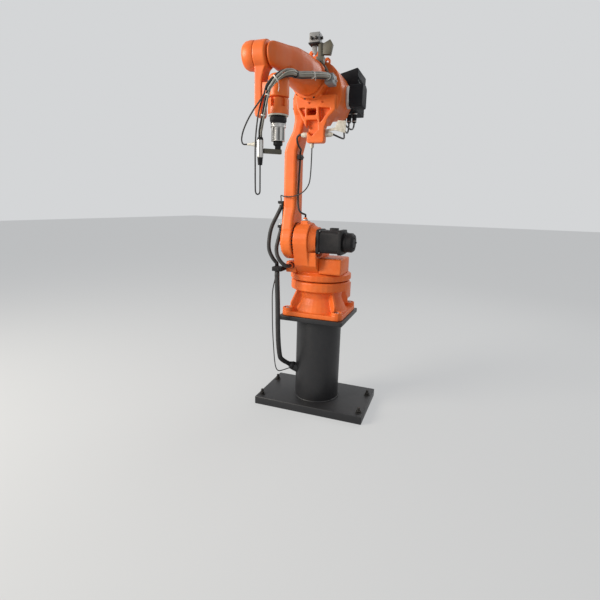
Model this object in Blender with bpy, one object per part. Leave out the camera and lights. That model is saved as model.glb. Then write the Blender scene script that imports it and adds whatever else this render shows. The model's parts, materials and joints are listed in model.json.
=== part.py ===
"""Industrial robot arm on a floor pedestal: six hinged axes, an outboard torch holder and its hoses.

Metres, +X the way the arm points, +Y the robot's left, +Z up, origin under the first axis on the floor.
"""
import math

import bmesh
import bpy
from mathutils import Matrix, Vector

# Clearances
GAP = 0.0003
JOINT_GAP = 0.006

# Facets of round forms, from drums down to hoses
DRUM_SIDES = 36
BOSS_SIDES = 24
PIN_SIDES = 12
CURVE_STEPS = 12

# Pedestal
PLATE_X = 0.40
PLATE_Y = 0.66
PLATE_T = 0.048
COLUMN_R = 0.133
TOP_PLATE = 0.375
TOP_PLATE_T = 0.025
PEDESTAL_H = 0.575

# Robot base casting
BASE_H = 0.200
BASE_HALF = 0.178
FOOT_T = 0.026
BASE_NECK_R = 0.125
BASE_FLANGE_R = 0.172
BASE_FLANGE_T = 0.050
LUG_SIDE = 0.066
BOX_DEPTH = 0.150
BOX_WIDTH = 0.195

# Shoulder
SHOULDER_X = 0.150
SHOULDER_RISE = 0.226
TURN_DISC_R = 0.176
TURN_DISC_T = 0.044
CHEEK_R = 0.097
CHEEK_Y0 = -0.090
CHEEK_Y1 = -0.010
CHEEK_FOOT_Y1 = 0.034
REDUCER_R = 0.080
ADAPTER_R = 0.087

# Servo motors
MOTOR_SIDE = 0.130
MOTOR_Y0 = 0.030
MOTOR_LEN = 0.136
MOTOR_CAP_R = 0.054
MOTOR_CAP_LEN = 0.058
ELBOW_MOTOR_SIDE = 0.100
ELBOW_MOTOR_LEN = 0.066
ROLL_MOTOR_SIDE = 0.088
ROLL_MOTOR_LEN = 0.115

# Lower arm
ARM_LEN = 0.680
ARM_Y0 = -0.162
ARM_Y1 = -0.098
ARM_T_TOP = 0.055
ARM_BOW = 0.052
ARM_DISC_R = 0.105
ARM_TOP_R = 0.080
ARM_STEM_HALF = 0.058

# Elbow casting
DRUM_R = 0.088
DRUM_Y1 = 0.150
RING_T = 0.016
RING_R = 0.052
RING_RISE = 0.026
ROLL_RISE = 0.078
BARREL_R = 0.085
BARREL_X0 = 0.245
SEAM_X = 0.335
YOKE_X0 = 0.250
YOKE_X1 = 0.292
YOKE_DROP = 0.199
YOKE_Y0 = -0.010
YOKE_Y1 = 0.077

# Forearm and wrist
ROOT_R = 0.078
WRIST_X = 0.655
NOSE_R = 0.047
HUB_Y1 = -0.042
HUB_T = 0.054
HUB_R = 0.054
CAP_T = 0.054
HANGER_DROP = 0.229
HANGER_Y1 = -0.064
HANGER_T = 0.030
ROLL_TOP = 0.075
ROLL_LEN = 0.083
ROLL_R = 0.042
TOOL_Y = -0.002

# Tool
FLANGE_LEN = 0.058
FLANGE_R = 0.042
SENSOR_LEN = 0.033
SENSOR_R = 0.034
TORCH_LEN = 0.066
TORCH_R = 0.031
NECK_LEN = 0.030
BRACKET_T = 0.018
SIDE_X = 0.700
SIDE_Y = -0.060
SIDE_R = 0.013
SIDE_TOP = 0.050
PLUG_LEN = 0.047

# Cords
HOSE_D = 0.028
CONDUIT_D = 0.022
BUNDLE_D = 0.030
END_D = 0.018
HARNESS_D = 0.010
WIRE_D = 0.006

# Places that follow from the sizes above
BASE_TOP = PEDESTAL_H + BASE_H
TURN_Z = BASE_TOP + JOINT_GAP
SHOULDER_Z = TURN_Z + SHOULDER_RISE
ELBOW_Z = SHOULDER_Z + ARM_LEN
ROLL_Z = ELBOW_Z + ROLL_RISE
ARM_TOP_Y0 = ARM_Y0 + ARM_BOW
ARM_TOP_Y1 = ARM_TOP_Y0 + ARM_T_TOP
CASTING_Y0 = ARM_TOP_Y1 + JOINT_GAP
HUB_Y0 = HUB_Y1 - HUB_T
YOKE_Z = ELBOW_Z - YOKE_DROP
ROLL_SEAT_Z = ROLL_Z - ROLL_TOP - ROLL_LEN
TOOL_Z = ROLL_SEAT_Z - JOINT_GAP
SENSOR_Z = TOOL_Z - FLANGE_LEN - GAP
TORCH_Z = SENSOR_Z - SENSOR_LEN - GAP
NECK_Z = TORCH_Z - TORCH_LEN - GAP
TIP_Z = NECK_Z - NECK_LEN

PIVOTS = {}


def clear_scene():
    for obj in list(bpy.data.objects):
        bpy.data.objects.remove(obj, do_unlink=True)


def material(name, colour, rough=0.5, metal=0.0):
    mat = bpy.data.materials.get(name) or bpy.data.materials.new(name)
    mat.use_nodes = True
    bsdf = mat.node_tree.nodes["Principled BSDF"]
    bsdf.inputs["Base Color"].default_value = (*colour, 1.0)
    bsdf.inputs["Roughness"].default_value = rough
    bsdf.inputs["Metallic"].default_value = metal
    return mat


clear_scene()
ORANGE = material("orange_paint", (0.80, 0.16, 0.035), 0.38)
BLACK_PAINT = material("black_paint", (0.035, 0.036, 0.040), 0.45)
BLACK = material("black_motor", (0.018, 0.018, 0.020), 0.42)
STEEL = material("machined_steel", (0.62, 0.62, 0.60), 0.30, 1.0)
GREY = material("grey_block", (0.42, 0.43, 0.43), 0.45)
OLIVE = material("dark_post", (0.085, 0.080, 0.055), 0.5)
RUBBER = material("hose_rubber", (0.020, 0.020, 0.021), 0.6)
SLEEVE = material("grey_sleeve", (0.22, 0.22, 0.20), 0.5)
LIGHT = material("light_plug", (0.72, 0.70, 0.62), 0.5)


# Shapes


def place_on(axis, u, v, w):
    """A point from its two coordinates across an axis and the one along it."""
    return {"X": (w, u, v), "Y": (u, w, v), "Z": (u, v, w)}[axis]


def prism(bm, outline, axis, low, high):
    """A closed outline in the plane across an axis, made solid from low to high."""
    bottom = [bm.verts.new(place_on(axis, u, v, low)) for u, v in outline]
    top = [bm.verts.new(place_on(axis, u, v, high)) for u, v in outline]
    bm.faces.new(bottom)
    bm.faces.new(list(reversed(top)))
    bridge_rings(bm, bottom, top)


def bridge_rings(bm, lower, upper):
    count = len(lower)
    for i in range(count):
        j = (i + 1) % count
        bm.faces.new((lower[i], upper[i], upper[j], lower[j]))


def loft(bm, sections):
    """Closed rings with the same number of points, skinned in order and capped."""
    rings = [[bm.verts.new(point) for point in section] for section in sections]
    for lower, upper in zip(rings, rings[1:]):
        bridge_rings(bm, lower, upper)
    bm.faces.new(rings[0])
    bm.faces.new(list(reversed(rings[-1])))


def rect(u0, u1, v0, v1):
    return [(u0, v0), (u1, v0), (u1, v1), (u0, v1)]


def arc(cu, cv, radius, start, end, steps):
    """Points on an arc, angles in degrees."""
    points = []
    for i in range(steps + 1):
        a = math.radians(start + (end - start) * i / steps)
        points.append((cu + radius * math.cos(a), cv + radius * math.sin(a)))
    return points


def rounded(u0, u1, v0, v1, radius, steps=3):
    """A rectangle's outline with round corners."""
    return (arc(u1 - radius, v0 + radius, radius, -90, 0, steps)
            + arc(u1 - radius, v1 - radius, radius, 0, 90, steps)
            + arc(u0 + radius, v1 - radius, radius, 90, 180, steps)
            + arc(u0 + radius, v0 + radius, radius, 180, 270, steps))


def toothed(cu, cv, outer, inner, teeth, share, steps=2):
    """A round outline with square teeth, each taking a share of its pitch."""
    points = []
    pitch = 360 / teeth
    for i in range(teeth):
        start = i * pitch
        points += arc(cu, cv, outer, start, start + pitch * share, steps)
        points += arc(cu, cv, inner, start + pitch * share, start + pitch, steps)
    return points


def curve_through(points, steps, closed=True):
    """A smooth curve through points, as that many short lines to each stretch."""
    points = [Vector(p) for p in points]
    count = len(points)
    curve = []
    for i in range(count if closed else count - 1):
        b = points[i]
        c = points[(i + 1) % count]
        a = points[i - 1] if closed or i else 2 * b - c
        d = points[(i + 2) % count] if closed or i + 2 < count else 2 * c - b
        for k in range(steps):
            t = k / steps
            curve.append(0.5 * (2 * b + (c - a) * t + (2 * a - 5 * b + 4 * c - d) * t * t
                                + (3 * b - a - 3 * c + d) * t ** 3))
    if not closed:
        curve.append(points[-1])
    return curve


def lathe(bm, profile, origin, axis, count=DRUM_SIDES):
    """A (radius, height) profile that starts and ends on the axis, turned about it."""
    ou, ov = origin
    rings = []
    for radius, height in profile:
        if radius < 1e-9:
            rings.append([bm.verts.new(place_on(axis, ou, ov, height))])
            continue
        rings.append([bm.verts.new(place_on(axis, u, v, height))
                      for u, v in arc(ou, ov, radius, 0, 360 * (1 - 1 / count), count - 1)])
    for lower, upper in zip(rings, rings[1:]):
        for i in range(count):
            j = (i + 1) % count
            if len(lower) == 1:
                bm.faces.new((lower[0], upper[i], upper[j]))
            elif len(upper) == 1:
                bm.faces.new((lower[i], upper[0], lower[j]))
            else:
                bm.faces.new((lower[i], upper[i], upper[j], lower[j]))


def drum(bm, radius, low, high, centre, axis, edge=0.0, count=DRUM_SIDES):
    """A solid round bar with chamfered rims."""
    if edge:
        rim = [(radius - edge, low), (radius, low + edge), (radius, high - edge), (radius - edge, high)]
    else:
        rim = [(radius, low), (radius, high)]
    lathe(bm, [(0, low)] + rim + [(0, high)], centre, axis, count)


# Objects


def new_object(name, builder, mat, parent=None):
    """One named object from a bmesh builder, with its material."""
    mesh = bpy.data.meshes.new(name)
    bm = bmesh.new()
    builder(bm)
    bmesh.ops.remove_doubles(bm, verts=bm.verts, dist=1e-6)
    bmesh.ops.recalc_face_normals(bm, faces=bm.faces)
    bm.to_mesh(mesh)
    bm.free()
    mesh.materials.append(mat)
    obj = bpy.data.objects.new(name, mesh)
    bpy.context.scene.collection.objects.link(obj)
    return carried(obj, parent)


def carried(obj, parent):
    """Parents an object to a joint's empty, and leaves it where it is."""
    if parent is not None:
        obj.parent = parent
        obj.matrix_parent_inverse = Matrix.Translation(-PIVOTS[parent.name])
    return obj


def pivot(name, location, parent=None):
    """An empty on a joint's axis that carries the pieces beyond it."""
    empty = bpy.data.objects.new(name, None)
    empty.empty_display_size = 0.05
    bpy.context.scene.collection.objects.link(empty)
    PIVOTS[name] = Vector(location)
    empty.location = location
    return carried(empty, parent)


def bevel(obj, width, segments=1, angle=35):
    mod = obj.modifiers.new("bevel", "BEVEL")
    mod.width = width
    mod.segments = segments
    mod.limit_method = "ANGLE"
    mod.angle_limit = math.radians(angle)


def boolean(obj, builder, name, operation):
    """Joins, cuts or crosses an object with a second closed shape."""
    helper = new_object(name, builder, obj.data.materials[0], obj.parent)
    helper.hide_render = True
    helper.display_type = "WIRE"
    mod = obj.modifiers.new(name, "BOOLEAN")
    mod.object = helper
    mod.operation = operation
    mod.solver = "EXACT"


def join(obj, builder, name):
    boolean(obj, builder, name, "UNION")


def cut(obj, builder, name):
    boolean(obj, builder, name, "DIFFERENCE")


def turned(builder, angle, centre):
    """A builder's shape, turned about a vertical line."""
    def build(bm):
        builder(bm)
        bmesh.ops.rotate(bm, verts=bm.verts, cent=(*centre, 0),
                         matrix=Matrix.Rotation(math.radians(angle), 3, "Z"))
    return build


def cord(name, route, diameter, mat, parent=None, spacing=2.4):
    """A round cord whose first and last stretches are straight, smooth and evenly divided between them."""
    dense = curve_through(route, CURVE_STEPS, closed=False)[CURVE_STEPS:-CURVE_STEPS]
    lengths = [0.0]
    for a, b in zip(dense, dense[1:]):
        lengths.append(lengths[-1] + (b - a).length)
    count = max(6, round(lengths[-1] / (diameter * spacing)))
    points = [Vector(route[0])]
    at = 0
    for i in range(count + 1):
        want = lengths[-1] * i / count
        while at < len(dense) - 2 and lengths[at + 1] < want:
            at += 1
        share = (want - lengths[at]) / (lengths[at + 1] - lengths[at])
        points.append(dense[at].lerp(dense[at + 1], min(share, 1.0)))
    points.append(Vector(route[-1]))
    data = bpy.data.curves.new(name, "CURVE")
    data.dimensions = "3D"
    data.bevel_depth = diameter / 2
    data.bevel_resolution = 2
    data.use_fill_caps = True
    spline = data.splines.new("POLY")
    spline.points.add(len(points) - 1)
    for spot, point in zip(spline.points, points):
        spot.co = (*point, 1.0)
    data.materials.append(mat)
    obj = bpy.data.objects.new(name, data)
    bpy.context.scene.collection.objects.link(obj)
    return carried(obj, parent)


def lead(face, direction, length):
    """Two points straight out of a fitting's face, so that a cord meets it squarely."""
    face = Vector(face)
    step = Vector(direction).normalized()
    return [face + step * GAP, face + step * length]


# Pedestal

GLAND_ANGLE = -58
GLAND_TILT = 30
GLAND_Z = 0.225
GLAND_R = 0.020
GLAND_LEN = 0.024
BOSS_LEN = 0.024
STUD_ANGLE = -78
STUD_Z = 0.200
STUD_LEN = 0.022


def gland_shape(bm):
    """The hose's gland on the column, tilted up from its foot."""
    face = COLUMN_R + BOSS_LEN
    lathe(bm, [(0, COLUMN_R - 0.03), (GLAND_R + 0.006, COLUMN_R - 0.03), (GLAND_R + 0.006, face),
               (GLAND_R, face),
               (GLAND_R, face + 0.014), (GLAND_R - 0.003, face + GLAND_LEN), (0, face + GLAND_LEN)],
          (0, GLAND_Z), "X", BOSS_SIDES)
    bmesh.ops.rotate(bm, verts=bm.verts, cent=(COLUMN_R, 0, GLAND_Z),
                     matrix=Matrix.Rotation(math.radians(-GLAND_TILT), 3, "Y"))


def build_pedestal():
    half_x = PLATE_X / 2
    half_y = PLATE_Y / 2
    half_top = TOP_PLATE / 2
    under_top = PEDESTAL_H - TOP_PLATE_T
    plate = new_object("pedestal_base_plate",
                       lambda bm: prism(bm, rect(-half_x, half_x, -half_y, half_y), "Z", 0, PLATE_T),
                       BLACK_PAINT)
    bevel(plate, 0.003)
    column = new_object("pedestal_column",
                        lambda bm: drum(bm, COLUMN_R, PLATE_T + GAP, under_top - GAP, (0, 0), "Z", 0.003),
                        BLACK_PAINT)
    join(column, turned(gland_shape, GLAND_ANGLE, (0, 0)), "hose_gland")
    stud = lambda bm: drum(bm, 0.008, COLUMN_R - 0.01, COLUMN_R + STUD_LEN, (0, STUD_Z), "X", 0, PIN_SIDES)
    join(column, turned(stud, STUD_ANGLE, (0, 0)), "ground_stud")
    top = new_object("pedestal_top_plate",
                     lambda bm: prism(bm, rect(-half_top, half_top, -half_top, half_top), "Z", under_top,
                                      PEDESTAL_H), BLACK_PAINT)
    bevel(top, 0.002)


# Robot base


def build_base():
    foot_z = PEDESTAL_H + GAP
    foot_top = PEDESTAL_H + FOOT_T
    under = BASE_TOP - BASE_FLANGE_T
    neck = [(0, foot_z + 0.001), (0.166, foot_z + 0.001), (0.162, foot_top), (0.138, foot_top + 0.04),
            (BASE_NECK_R, foot_top + 0.075), (BASE_NECK_R + 0.004, under - 0.016), (BASE_FLANGE_R, under),
            (BASE_FLANGE_R, BASE_TOP - 0.006), (BASE_FLANGE_R - 0.006, BASE_TOP),
            (0, BASE_TOP)]
    base = new_object("robot_base", lambda bm: lathe(bm, neck, (0, 0), "Z"), ORANGE)
    join(base, lambda bm: prism(bm, rounded(-BASE_HALF, BASE_HALF, -BASE_HALF, BASE_HALF, 0.035), "Z",
                                foot_z, foot_top), "base_foot")
    join(base, lambda bm: drum(bm, 0.100, BASE_TOP - 0.01, TURN_Z - GAP, (0, 0), "Z"), "base_spigot")
    lug_in = BASE_HALF - LUG_SIDE
    rib_top = under - 0.006
    for i in range(4):
        angle = 90 * i
        lug = lambda bm: prism(bm, rounded(lug_in, BASE_HALF - 0.002, lug_in, BASE_HALF - 0.002, 0.030), "Z",
                               foot_top - 0.004, foot_top + 0.020)
        join(base, turned(lug, angle, (0, 0)), f"base_lug_{i + 1}")
        rib = lambda bm: prism(bm, [(0.10, foot_top - 0.003), (0.198, foot_top - 0.003),
                                    (0.198, foot_top + 0.026), (0.152, rib_top), (0.10, rib_top)],
                               "Y", -0.008, 0.008)
        join(base, turned(rib, angle + 45, (0, 0)), f"base_rib_{i + 1}")
        well = lambda bm: drum(bm, 0.019, foot_top + 0.004, foot_top + 0.05,
                               (BASE_HALF - 0.032, BASE_HALF - 0.032), "Z", 0, PIN_SIDES)
        cut(base, turned(well, angle, (0, 0)), f"bolt_well_{i + 1}")
    boss_x = -BASE_HALF - 0.004
    box_top = under - 0.010
    join(base, lambda bm: prism(bm, rect(boss_x, 0, -0.085, 0.085), "Z", foot_top - 0.005, box_top),
         "connector_boss")
    box_x1 = boss_x - GAP
    box = new_object("base_connector_box",
                     lambda bm: prism(bm, rect(box_x1 - BOX_DEPTH, box_x1, -0.085, BOX_WIDTH - 0.085), "Z",
                                      foot_top + 0.012, box_top), ORANGE)
    bevel(box, 0.006, 2)


# Swivel, on the first axis

CLAMP_TOP = 0.026
CLAMP_H = 0.024
CLAMP_X0 = 0.190
CLAMP_X1 = 0.246
CLAMP_Y0 = -0.206
SIDE_BLOCK_Y0 = -0.150
SIDE_BLOCK_TOP = 0.014


def build_swivel(axis):
    centre = (SHOULDER_X, SHOULDER_Z)
    low = TURN_Z + 0.02
    column = new_object("swivel_column",
                        lambda bm: lathe(bm, [(0, TURN_Z), (TURN_DISC_R - 0.006, TURN_Z),
                                              (TURN_DISC_R, TURN_Z + 0.006),
                                              (TURN_DISC_R, TURN_Z + TURN_DISC_T - 0.010),
                                              (TURN_DISC_R - 0.018, TURN_Z + TURN_DISC_T),
                                              (0, TURN_Z + TURN_DISC_T)], (0, 0), "Z"), ORANGE, axis)
    cheek = ([(-0.075, low), (0.120, low), (SHOULDER_X + 0.055, SHOULDER_Z - 0.132)]
             + arc(*centre, CHEEK_R, -25, 125, 9)
             + [(-0.055, SHOULDER_Z - 0.047), (-0.085, SHOULDER_Z - 0.107)])
    join(column, lambda bm: prism(bm, cheek, "Y", CHEEK_Y0, CHEEK_Y1), "cheek")
    foot = ([(-0.045, low), (0.118, low), (SHOULDER_X + 0.053, SHOULDER_Z - 0.134)]
            + arc(*centre, ADAPTER_R + 0.003, -38, -142, 8) + [(-0.045, SHOULDER_Z - 0.085)])
    join(column, lambda bm: prism(bm, foot, "Y", CHEEK_Y0 + 0.01, CHEEK_FOOT_Y1), "cheek_foot")
    join(column, lambda bm: drum(bm, REDUCER_R, ARM_Y1 + GAP, CHEEK_Y0 + 0.01, centre, "Y"), "reducer")
    seat_z = SHOULDER_Z + CHEEK_R + 0.008
    join(column, lambda bm: prism(bm, rect(SHOULDER_X - 0.005, SHOULDER_X + 0.040, -0.066, -0.026), "Z",
                                  SHOULDER_Z + 0.06, seat_z), "harness_seat")
    join(column, lambda bm: lathe(bm, [(0, seat_z - 0.01), (0.012, seat_z - 0.01), (0.012, seat_z + 0.010),
                                       (0.008, seat_z + 0.018), (0, seat_z + 0.018)],
                                  (SHOULDER_X + 0.020, -0.046), "Z", PIN_SIDES), "harness_gland")
    block_top = SHOULDER_Z - ARM_DISC_R - SIDE_BLOCK_TOP
    block = new_object("swivel_side_block",
                       lambda bm: prism(bm, rounded(0.020, 0.175, TURN_Z + TURN_DISC_T + 0.002, block_top,
                                                    0.010),
                                        "Y", SIDE_BLOCK_Y0, CHEEK_Y0 - GAP), ORANGE, axis)
    join(block,
         lambda bm: lathe(bm, [(0, 0.160), (0.017, 0.160), (0.017, 0.185), (0.014, 0.195), (0, 0.195)],
                                 (-0.120, block_top - 0.021), "X", PIN_SIDES), "conduit_gland")
    housing = new_object("swivel_motor_housing",
                         lambda bm: prism(bm, rounded(-0.020, 0.165, TURN_Z + TURN_DISC_T + 0.002,
                                                      SHOULDER_Z - MOTOR_SIDE / 2 - 0.027, 0.012),
                                          "Y", CHEEK_FOOT_Y1 + GAP, 0.160), ORANGE, axis)
    bevel(housing, 0.006, 2)
    build_hose_clamp(axis, block_top)
    return block_top, seat_z


def build_hose_clamp(axis, block_top):
    """The clamp on the side block that holds the hoses from the floor and the arm."""
    top = block_top - CLAMP_TOP
    face = SIDE_BLOCK_Y0 - GAP
    outline = [(0.120, face), (0.120, face - 0.008), (CLAMP_X0, face - 0.008), (CLAMP_X0, CLAMP_Y0),
               (CLAMP_X1, CLAMP_Y0), (CLAMP_X1, face - 0.002), (CLAMP_X1 - 0.004, face)]
    clamp = new_object("column_hose_clamp", lambda bm: prism(bm, outline, "Z", top - CLAMP_H, top), BLACK,
                       axis)
    bevel(clamp, 0.002)


def build_shoulder_motor(axis):
    centre = (SHOULDER_X, SHOULDER_Z)
    half = MOTOR_SIDE / 2
    new_object("shoulder_motor_adapter",
               lambda bm: lathe(bm, [(0, CHEEK_Y1 + GAP), (ADAPTER_R, CHEEK_Y1 + GAP),
                                     (ADAPTER_R, CHEEK_Y1 + 0.006),
                                     (ADAPTER_R - 0.013, MOTOR_Y0 - 0.012),
                                     (ADAPTER_R - 0.013, MOTOR_Y0 - GAP),
                                     (0, MOTOR_Y0 - GAP)],
                                centre, "Y", DRUM_SIDES), ORANGE, axis)
    end = MOTOR_Y0 + MOTOR_LEN
    motor = new_object("shoulder_motor",
                       lambda bm: prism(bm, rounded(SHOULDER_X - half, SHOULDER_X + half, SHOULDER_Z - half,
                                                    SHOULDER_Z + half, 0.016), "Y", MOTOR_Y0,
                                        MOTOR_Y0 + 0.016),
                       BLACK, axis)
    body = half - 0.005
    join(motor, lambda bm: prism(bm, rounded(SHOULDER_X - body, SHOULDER_X + body, SHOULDER_Z - body,
                                             SHOULDER_Z + body, 0.022), "Y", MOTOR_Y0 + 0.01, end - 0.012),
         "motor_body")
    join(motor, lambda bm: prism(bm, rounded(SHOULDER_X - half, SHOULDER_X + half, SHOULDER_Z - half,
                                             SHOULDER_Z + half, 0.016), "Y", end - 0.018, end), "motor_end")
    cap_end = end + MOTOR_CAP_LEN
    new_object("shoulder_motor_cap",
               lambda bm: lathe(bm, [(0, end + GAP), (MOTOR_CAP_R - 0.004, end + GAP),
                                     (MOTOR_CAP_R, end + 0.008),
                                     (MOTOR_CAP_R, end + 0.018), (MOTOR_CAP_R - 0.003, end + 0.022),
                                     (MOTOR_CAP_R - 0.003, cap_end - 0.012), (MOTOR_CAP_R - 0.012, cap_end),
                                     (0, cap_end)], centre, "Y"), BLACK, axis)
    plug_z = SHOULDER_Z + body
    join(motor,
         lambda bm: prism(bm, rect(SHOULDER_X - 0.018, SHOULDER_X + 0.018, plug_z - 0.01, plug_z + 0.013),
                                 "Y", end - 0.075, end - 0.034), "motor_plug")


# Lower arm, on the second axis

BRACKET_X0 = 0.168
BRACKET_X1 = 0.207
BRACKET_LOW = 0.064
BRACKET_HIGH = 0.205
LUG_T = 0.014
HANG_Y = 0.017
CLIP_Z = 0.240


def arm_section(z, half, y0, y1):
    """One rounded slice of the arm's stem."""
    return [(x, y, z) for x, y in rounded(SHOULDER_X - half, SHOULDER_X + half, y0, y1, 0.012, 2)]


def build_lower_arm(axis):
    shoulder = (SHOULDER_X, SHOULDER_Z)
    elbow = (SHOULDER_X, ELBOW_Z)
    bend_z = ELBOW_Z - 0.227
    slices = [(SHOULDER_Z + 0.02, 0.092, ARM_Y0, ARM_Y1), (SHOULDER_Z + 0.105, 0.076, ARM_Y0, ARM_Y1),
              (SHOULDER_Z + 0.17, ARM_STEM_HALF, ARM_Y0, ARM_Y1 + 0.005),
              (bend_z, ARM_STEM_HALF, ARM_Y0, ARM_Y1 + 0.005),
              (bend_z + 0.04, ARM_STEM_HALF - 0.001, ARM_Y0 + 0.012, ARM_Y1 + 0.016),
              (bend_z + 0.10, ARM_STEM_HALF - 0.004, ARM_TOP_Y0 - 0.010, ARM_TOP_Y1 - 0.012),
              (bend_z + 0.15, ARM_STEM_HALF - 0.002, ARM_TOP_Y0, ARM_TOP_Y1),
              (ELBOW_Z, 0.070, ARM_TOP_Y0, ARM_TOP_Y1)]
    arm = new_object("lower_arm", lambda bm: loft(bm, [arm_section(*s) for s in slices]), ORANGE, axis)
    crown = [(0, ARM_Y1), (ARM_DISC_R - 0.004, ARM_Y1), (ARM_DISC_R, ARM_Y1 - 0.004),
             (ARM_DISC_R, ARM_Y0 + 0.014), (ARM_DISC_R - 0.012, ARM_Y0 + 0.001), (0.074, ARM_Y0 + 0.001),
             (0.070, ARM_Y0 + 0.006), (0, ARM_Y0 + 0.006)]
    join(arm, lambda bm: lathe(bm, crown, shoulder, "Y"), "shoulder_disc")
    head = [(0, ARM_TOP_Y1 - 0.0005), (ARM_TOP_R - 0.004, ARM_TOP_Y1 - 0.0005),
            (ARM_TOP_R, ARM_TOP_Y1 - 0.005),
            (ARM_TOP_R, ARM_TOP_Y0 + 0.010), (ARM_TOP_R - 0.010, ARM_TOP_Y0 - 0.002),
            (0, ARM_TOP_Y0 - 0.002)]
    join(arm, lambda bm: lathe(bm, head, elbow, "Y"), "elbow_disc")
    face = ARM_Y0 - GAP
    low = SHOULDER_Z + BRACKET_LOW
    high = SHOULDER_Z + BRACKET_HIGH
    strap = [(face, low), (face, high), (face - 0.030, high), (face - 0.030, high - LUG_T),
             (face - 0.004, high - LUG_T), (face - 0.004, low + LUG_T), (face - 0.030, low + LUG_T),
             (face - 0.030, low)]
    bracket = new_object("arm_hose_bracket",
                         lambda bm: prism(bm, strap, "X", BRACKET_X0, BRACKET_X1), BLACK, axis)
    bevel(bracket, 0.001)
    clip_y = ARM_Y1 + 0.005 + GAP
    clip_z = ELBOW_Z - CLIP_Z
    clip = new_object("arm_harness_clip",
                      lambda bm: prism(bm, rect(0.160, 0.198, clip_z - 0.024, clip_z), "Y", clip_y,
                                       clip_y + 0.022),
                      BLACK, axis)
    bevel(clip, 0.002)
    return low, high, clip_y + 0.011, clip_z


# Elbow, on the third axis

COVER_Y0 = 0.072
COVER_Y1 = 0.172
COVER_DEPTH = 0.190
COVER_DROP = 0.014
COVER_RISE = 0.186
LOUVRES = 5
MASS_X0 = 0.060
POST_X = 0.285
POST_Y = 0.047
POST_R = 0.0145
POST_TOP = 0.1525
CLAMP_Z = ROLL_Z - 0.012
PLUG_X = 0.270
PLUG_Y = 0.012
BUNDLE_X0 = 0.352


def build_elbow_casting(axis):
    centre = (SHOULDER_X, ELBOW_Z)
    front = curve_through([(CASTING_Y0, ELBOW_Z - 0.045), (0.090, ELBOW_Z - 0.072), (0.136, ELBOW_Z - 0.030),
                           (0.146, ELBOW_Z + 0.040), (0.118, ELBOW_Z + 0.122),
                           (0.055, ROLL_Z + BARREL_R + 0.003),
                           (-0.010, ROLL_Z + BARREL_R), (CASTING_Y0, ROLL_Z + BARREL_R - 0.018)], 3)
    front = [(max(y, CASTING_Y0 + 0.0011), z) for y, z in front]
    casting = new_object("elbow_casting", lambda bm: prism(bm, front, "X", MASS_X0, BARREL_X0 + 0.015),
                         ORANGE, axis)
    side = [(MASS_X0 - 0.01, ELBOW_Z - 0.020), (MASS_X0 + 0.004, ELBOW_Z - 0.060),
            (SHOULDER_X, ELBOW_Z - DRUM_R),
            (0.300, ELBOW_Z - 0.090), (0.300, ROLL_Z + BARREL_R + 0.01), (0.150, ROLL_Z + BARREL_R + 0.01),
            (MASS_X0 + 0.012, ROLL_Z + 0.056), (MASS_X0 - 0.01, ROLL_Z + 0.010)]
    boolean(casting, lambda bm: prism(bm, side, "Y", -0.2, 0.2), "mass_side", "INTERSECT")
    join(casting,
         lambda bm: lathe(bm, [(0, ARM_TOP_Y1 + GAP), (0.062, ARM_TOP_Y1 + GAP), (0.062, CASTING_Y0),
                                        (DRUM_R - 0.004, CASTING_Y0), (DRUM_R, CASTING_Y0 + 0.004),
                                        (DRUM_R, 0.062), (DRUM_R - 0.028, 0.104), (0, 0.104)],
                                   centre, "Y"), "elbow_drum")
    join(casting,
         lambda bm: drum(bm, RING_R + 0.006, 0.06, DRUM_Y1, (SHOULDER_X, ELBOW_Z + RING_RISE), "Y", 0.004),
         "motor_boss")
    barrel_end = SEAM_X - JOINT_GAP
    join(casting,
         lambda bm: lathe(bm, [(0, BARREL_X0), (BARREL_R - 0.006, BARREL_X0), (BARREL_R, BARREL_X0 + 0.008),
                                        (BARREL_R, barrel_end - 0.004), (BARREL_R - 0.004, barrel_end),
                                        (0, barrel_end)], (0, ROLL_Z), "X"), "roll_barrel")
    build_yoke(casting)
    build_casting_seats(casting)
    return casting


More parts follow.
